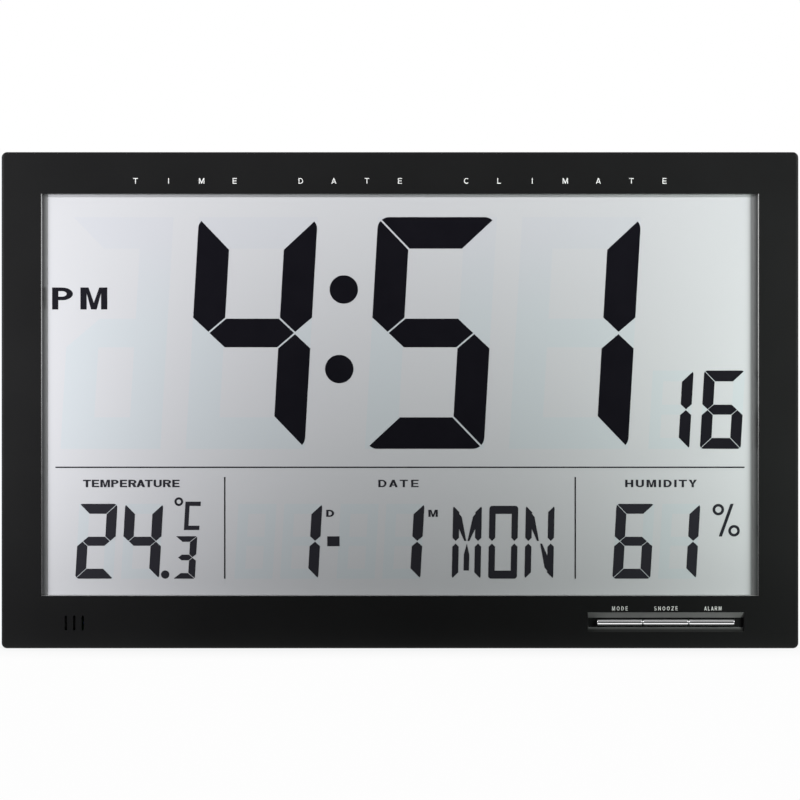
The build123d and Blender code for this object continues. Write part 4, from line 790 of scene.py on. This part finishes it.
# Chips, capacitors, switches and plungers: the dark small parts on the boards.
# Epoxy and nylon mouldings, matt with a fine even grain.
chip_black = moulded_plastic(
    "chip_black",
    colour=(0.012, 0.012, 0.0125),
    pale=(0.02, 0.02, 0.021),
    roughness=0.5,
    grain=0.15 * mm,
    depth=0.008 * mm,
)
dress(
    chip_black,
    "controller_chip",
    "receiver_chip",
    "humidity_sensor",
    "capacitors",
    "switch_bodies",
    "mode_plunger",
    "snooze_plunger",
    "alarm_plunger",
)

# Crystal can and temperature bead: the clock's timebase and its thermometer.
# The can is drawn steel with tin plating; the bead is dipped blue epoxy.
metal_bright = metal_finish(
    "metal_bright",
    colour=(0.52, 0.52, 0.54),
    pale=(0.64, 0.64, 0.66),
    roughness=0.3,
    grain=0.15 * mm,
    stretch=(6.0, 1.0, 1.0),
    depth=0.005 * mm,
)
dress(metal_bright, "crystal")

sensor_blue = moulded_plastic(
    "sensor_blue",
    colour=(0.035, 0.09, 0.28),
    pale=(0.06, 0.14, 0.38),
    roughness=0.3,
    grain=0.6 * mm,
    depth=0.02 * mm,
)
dress(sensor_blue, "thermistor")

# Antenna: a rod of pressed ferrite with its winding, hung below the keyholes.
# The rod is dull and slightly pitted; the winding is enamelled copper wire laid turn by turn.
ferrite_dark = moulded_plastic(
    "ferrite_dark",
    colour=(0.035, 0.035, 0.038),
    pale=(0.07, 0.069, 0.07),
    roughness=0.65,
    grain=0.25 * mm,
    depth=0.03 * mm,
)
dress(ferrite_dark, "ferrite_rod")

coil_copper, coil_shader, coil_place = new_finish("coil_copper", Metallic=1.0)
turn_pitch = 0.4 * mm
turn_height = 0.15 * mm
along_rod = coil_place.axis("X")
turns = along_rod.math("PINGPONG", along_rod, turn_pitch / 2) * (2 / turn_pitch)
# Painted shade: the copper darkens into the grooves between the turns.
feed(coil_shader, "Base Color", turns.blend(rgba((0.28, 0.09, 0.035)), rgba((0.62, 0.25, 0.11))))
feed(coil_shader, "Roughness", 0.4 - 0.15 * turns)
feed(coil_shader, "Normal", turns.bump(turn_height))
dress(coil_copper, "antenna_coil")

# Sounder: a thin disc that bends with the signal, seated in the rear cover over its sound holes.
# Rolled brass sheet with a disc of silvered piezo ceramic cemented on.
brass_sheet = metal_finish(
    "brass_sheet",
    colour=(0.6, 0.42, 0.14),
    pale=(0.76, 0.56, 0.22),
    roughness=0.32,
    grain=0.12 * mm,
    stretch=(10.0, 1.0, 1.0),
    depth=0.004 * mm,
)
dress(brass_sheet, "buzzer_plate")

ceramic_white = moulded_plastic(
    "ceramic_white",
    colour=(0.7, 0.68, 0.62),
    pale=(0.8, 0.78, 0.72),
    roughness=0.45,
    grain=0.3 * mm,
    depth=0.01 * mm,
)
dress(ceramic_white, "buzzer_ceramic")

# Leads: stranded hook-up wires between the boards, the sounder and the battery terminals.
# PVC insulation, red to the cells and grey elsewhere, with a slight sheen.
wire_red = moulded_plastic(
    "wire_red",
    colour=(0.3, 0.014, 0.014),
    pale=(0.38, 0.025, 0.022),
    roughness=0.4,
    grain=1.2 * mm,
    depth=0.01 * mm,
)
dress(wire_red, "battery_leads")

wire_grey = moulded_plastic(
    "wire_grey",
    colour=(0.17, 0.17, 0.175),
    pale=(0.23, 0.23, 0.235),
    roughness=0.4,
    grain=1.2 * mm,
    depth=0.01 * mm,
)
dress(wire_grey, "buzzer_leads", "key_lead", "sensor_lead", "antenna_lead", "receiver_lead")

# Rear cover: the back shell, with the battery well, keyhole pockets and foot recesses.
# Moulded in black plastic with a coarser spark grain than the front, since it faces the wall.
cover_black = moulded_plastic(
    "cover_black",
    colour=(0.0115, 0.0115, 0.012),
    pale=(0.02, 0.02, 0.021),
    roughness=0.5,
    grain=0.6 * mm,
    depth=0.05 * mm,
)
dress(cover_black, "rear_cover")

# Cells: two AA cells side by side in the well.
# Steel cans in a plain printed wrap, dark blue with a pale band at the raised end.
cell_low, cell_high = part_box("battery_cells")
cell_wrap, cell_shader, cell_place = new_finish("cell_wrap", Coat_Weight=0.4, Coat_Roughness=0.1)
along_cell = cell_place.axis("X")
lower_cell = 1 - cell_place.axis("Z").above((cell_low.z + cell_high.z) / 2)
band_width = 13 * mm
right_band = along_cell.above(cell_high.x - band_width)
left_band = 1 - along_cell.above(cell_low.x + band_width)
band = lower_cell * left_band + (1 - lower_cell) * right_band
cap_width = 1.6 * mm
bare_metal = 1 - along_cell.between(cell_low.x + cap_width, cell_high.x - cap_width)
scuff = cell_place.noise(size=4 * mm, detail=3.0)
wrap_colour = band.blend(rgba((0.022, 0.035, 0.085)), rgba((0.42, 0.43, 0.44)))
feed(cell_shader, "Base Color", bare_metal.blend(wrap_colour, rgba((0.6, 0.6, 0.6))))
feed(cell_shader, "Metallic", bare_metal)
feed(cell_shader, "Roughness", 0.26 + 0.16 * scuff)
dress(cell_wrap, "battery_cells")

# Battery terminals and bridge: the spring and button contacts at the ends of the well.
# Bent from nickel-plated spring steel and pushed into slots in the well's walls.
contact_nickel = metal_finish(
    "contact_nickel",
    colour=(0.58, 0.57, 0.52),
    pale=(0.72, 0.71, 0.66),
    roughness=0.3,
    grain=0.15 * mm,
    stretch=(1.0, 1.0, 8.0),
    depth=0.005 * mm,
)
dress(contact_nickel, "battery_terminals", "battery_bridge")

# Battery door and fold-out feet: the covers and legs that a hand opens at the back.
# Moulded in the rear cover's black, with the gloss that handling gives them.
hand_black = moulded_plastic(
    "hand_black",
    colour=(0.0125, 0.0125, 0.013),
    pale=(0.022, 0.022, 0.023),
    roughness=0.43,
    grain=0.6 * mm,
    depth=0.035 * mm,
)
dress(hand_black, "battery_door", "left_foot", "right_foot")

# Screws: cross-head screws in the case, the display frame and the boards.
# Zinc-plated steel, slightly dull, turned heads with a pressed recess.
screw_steel = metal_finish(
    "screw_steel",
    colour=(0.34, 0.34, 0.35),
    pale=(0.5, 0.5, 0.51),
    roughness=0.36,
    grain=0.2 * mm,
    stretch=(1.0, 1.0, 1.0),
    depth=0.006 * mm,
)
dress(screw_steel, "case_screws", "frame_screws", "board_screws")

# Table: the plain pale surface that the clock stands on.
# A large matt sheet, white to the eye, with a painted soft shadow where the clock is near and shuts out
# the light.
# It is grey to the light that it throws back, so that little of it reaches the clock.
bpy.ops.object.select_all(action="DESELECT")
table_size = 5.0
table_gap = 0.02 * mm
table_grey = (0.12, 0.12, 0.12)
bpy.ops.mesh.primitive_plane_add(size=table_size, location=(0, 0, cad_low.z - table_gap))
table = bpy.context.object
table.name = "table"
table_white, table_shader, table_place = new_finish("table_white", Roughness=0.9, Specular_IOR_Level=0.1)
table_shader.inputs["Base Color"].default_value = rgba(table_grey)
straight = table_place.node("ShaderNodeLightPath", out="Is Camera Ray")
mirrored = Flow(straight.tree, straight.socket.node.outputs["Is Glossy Ray"])
seen = straight.math("MAXIMUM", straight, mirrored)
shadow_reach = 0.15
shadow_grey = (0.8, 0.8, 0.81)
glow_share = 0.985
# Painted shadow: the glow greys where the clock is near and shuts out the open sky.
openness = table_place.node("ShaderNodeAmbientOcclusion", sockets={"Distance": shadow_reach}, out="AO")
openness = openness.math("MAXIMUM", openness, mirrored)
sheet = openness.blend(rgba(shadow_grey), rgba((1, 1, 1)))
glow = table_place.node("ShaderNodeEmission", sockets={"Color": sheet, "Strength": 1.0})
shaded = Flow(table_white.node_tree, table_shader.outputs["BSDF"])
shown = table_place.node("ShaderNodeMixShader", sockets={0: seen * glow_share, 1: shaded, 2: glow})
feed(table_white.node_tree.nodes["Material Output"], "Surface", shown)
table.data.materials.append(table_white)

# Studio cards: a grey wall behind the camera, and a black flag with its mat before the clock.
# Seen only in reflections, where they keep the satin front dark and draw the line along the chrome keys.
wall_away, wall_high, wall_shade = 3.4, 8.0, 0.4
flag_away, flag_high, flag_shade = 1.2, 0.35, 0.0
mat_away = 0.06
card_wide = 5.0
card_gap = 0.5 * mm
card_foot = cad_low.z + card_gap


def studio_card(name, size, spot, turn, shade):
    """A flat card, upright or lying, that only reflections show."""
    bpy.ops.object.select_all(action="DESELECT")
    bpy.ops.mesh.primitive_plane_add(size=1.0, location=spot, rotation=(turn, 0, 0))
    card = bpy.context.object
    card.name = name
    card.scale = (*size, 1.0)
    finish, shader = new_finish(name, Roughness=1.0, Specular_IOR_Level=0.0, Emission_Strength=1.0)[:2]
    shader.inputs["Base Color"].default_value = rgba((0, 0, 0))
    shader.inputs["Emission Color"].default_value = rgba((shade, shade, shade))
    card.data.materials.append(finish)
    card.visible_camera = False
    card.visible_diffuse = False
    card.visible_shadow = False
    card.visible_transmission = False


for name, away, top, shade in (
    ("grey_wall", wall_away, wall_high, wall_shade),
    ("black_flag", flag_away, flag_high, flag_shade),
):
    card_size = (card_wide, top - card_foot)
    studio_card(name, card_size, (0, -away, (top + card_foot) / 2), math.pi / 2, shade)
mat_size = (card_wide, flag_away - mat_away)
studio_card("black_mat", mat_size, (0, -(flag_away + mat_away) / 2, card_foot), 0.0, flag_shade)

# Studio light: a soft lamp at each side of the front, one higher before it and two fills behind.
# The left lamp is a little cool and the right one a little green, as the display shows.
# Two panels are seen only in gloss: they draw the bright lines on the window's edges and the keys.
side_lamp = (0.065, 0.276)
high_lamp = (0.3, 0.12)
side_panel = (0.6, 0.4)
rear_lamp = (0.7, 0.7)
white, cool_white, green_white = (1, 1, 1), (1.0, 1.0, 1.01), (0.95, 1.03, 0.96)
for name, spot, aim, size, watts, colour, use in (
    ("left_lamp", (-0.3, -0.21, 0), (-0.176, -0.025, 0.077), side_lamp, 0.64, cool_white, "light"),
    ("right_lamp", (0.3, -0.21, 0), (0.176, -0.025, 0.077), side_lamp, 0.56, green_white, "light"),
    ("top_lamp", (0, -0.537, 0.295), (0, -0.025, 0.874), high_lamp, 5.4, white, "light"),
    ("left_panel", (-0.6, -0.3, 0.2), (0, -0.03, 0.2), side_panel, 2.3, white, "gloss"),
    ("right_panel", (0.6, -0.3, 0.2), (0, -0.03, 0.2), side_panel, 2.0, white, "gloss"),
    ("rear_left_lamp", (-0.9, 0.9, 0.8), (0, 0, 0), rear_lamp, 9.0, white, "both"),
    ("rear_right_lamp", (0.9, 0.9, 0.6), (0, 0, 0), rear_lamp, 7.0, white, "both"),
):
    lamp_data = bpy.data.lights.new(name, "AREA")
    lamp_data.shape = "RECTANGLE"
    lamp_data.size, lamp_data.size_y = size
    lamp_data.energy = watts
    lamp_data.color = colour
    lamp = bpy.data.objects.new(name, lamp_data)
    bpy.context.scene.collection.objects.link(lamp)
    lamp.location = spot
    lamp.rotation_euler = (Vector(aim) - Vector(spot)).to_track_quat("-Z", "Y").to_euler()
    lamp.visible_camera = False
    lamp.visible_diffuse = use != "gloss"
    lamp.visible_glossy = use != "light"

world = bpy.data.worlds.new("studio")
world.use_nodes = True
bpy.context.scene.world = world
fill_level = 0.03
sky = world.node_tree.nodes["Background"]
rays = world.node_tree.nodes.new("ShaderNodeLightPath").outputs
straight = Flow(world.node_tree, rays["Is Camera Ray"])
mirrored = Flow(world.node_tree, rays["Is Glossy Ray"])
through = Flow(world.node_tree, rays["Is Transmission Ray"])
background = straight.math("MAXIMUM", straight.math("MAXIMUM", straight, mirrored), through)
feed(sky, "Strength", fill_level + (1 - fill_level) * background)
sky.inputs["Color"].default_value = rgba((1, 1, 1))

# Camera: straight in front, far away with a long lens, so the sides of the window hardly show.
# The picture is as wide as the photograph's frame at the bezel's front face.
lens = 250.0
sensor = 36.0
picture_width = 441.6 * mm
camera_level = 0.1 * mm
camera_data = bpy.data.cameras.new("camera")
camera_data.lens = lens
camera_data.sensor_width = sensor
camera = bpy.data.objects.new("camera", camera_data)
bpy.context.scene.collection.objects.link(camera)
camera.location = (0, bezel_low.y - picture_width * lens / sensor, camera_level)
camera.rotation_euler = (math.pi / 2, 0, 0)
bpy.context.scene.camera = camera
bpy.context.scene.view_settings.view_transform = "Standard"
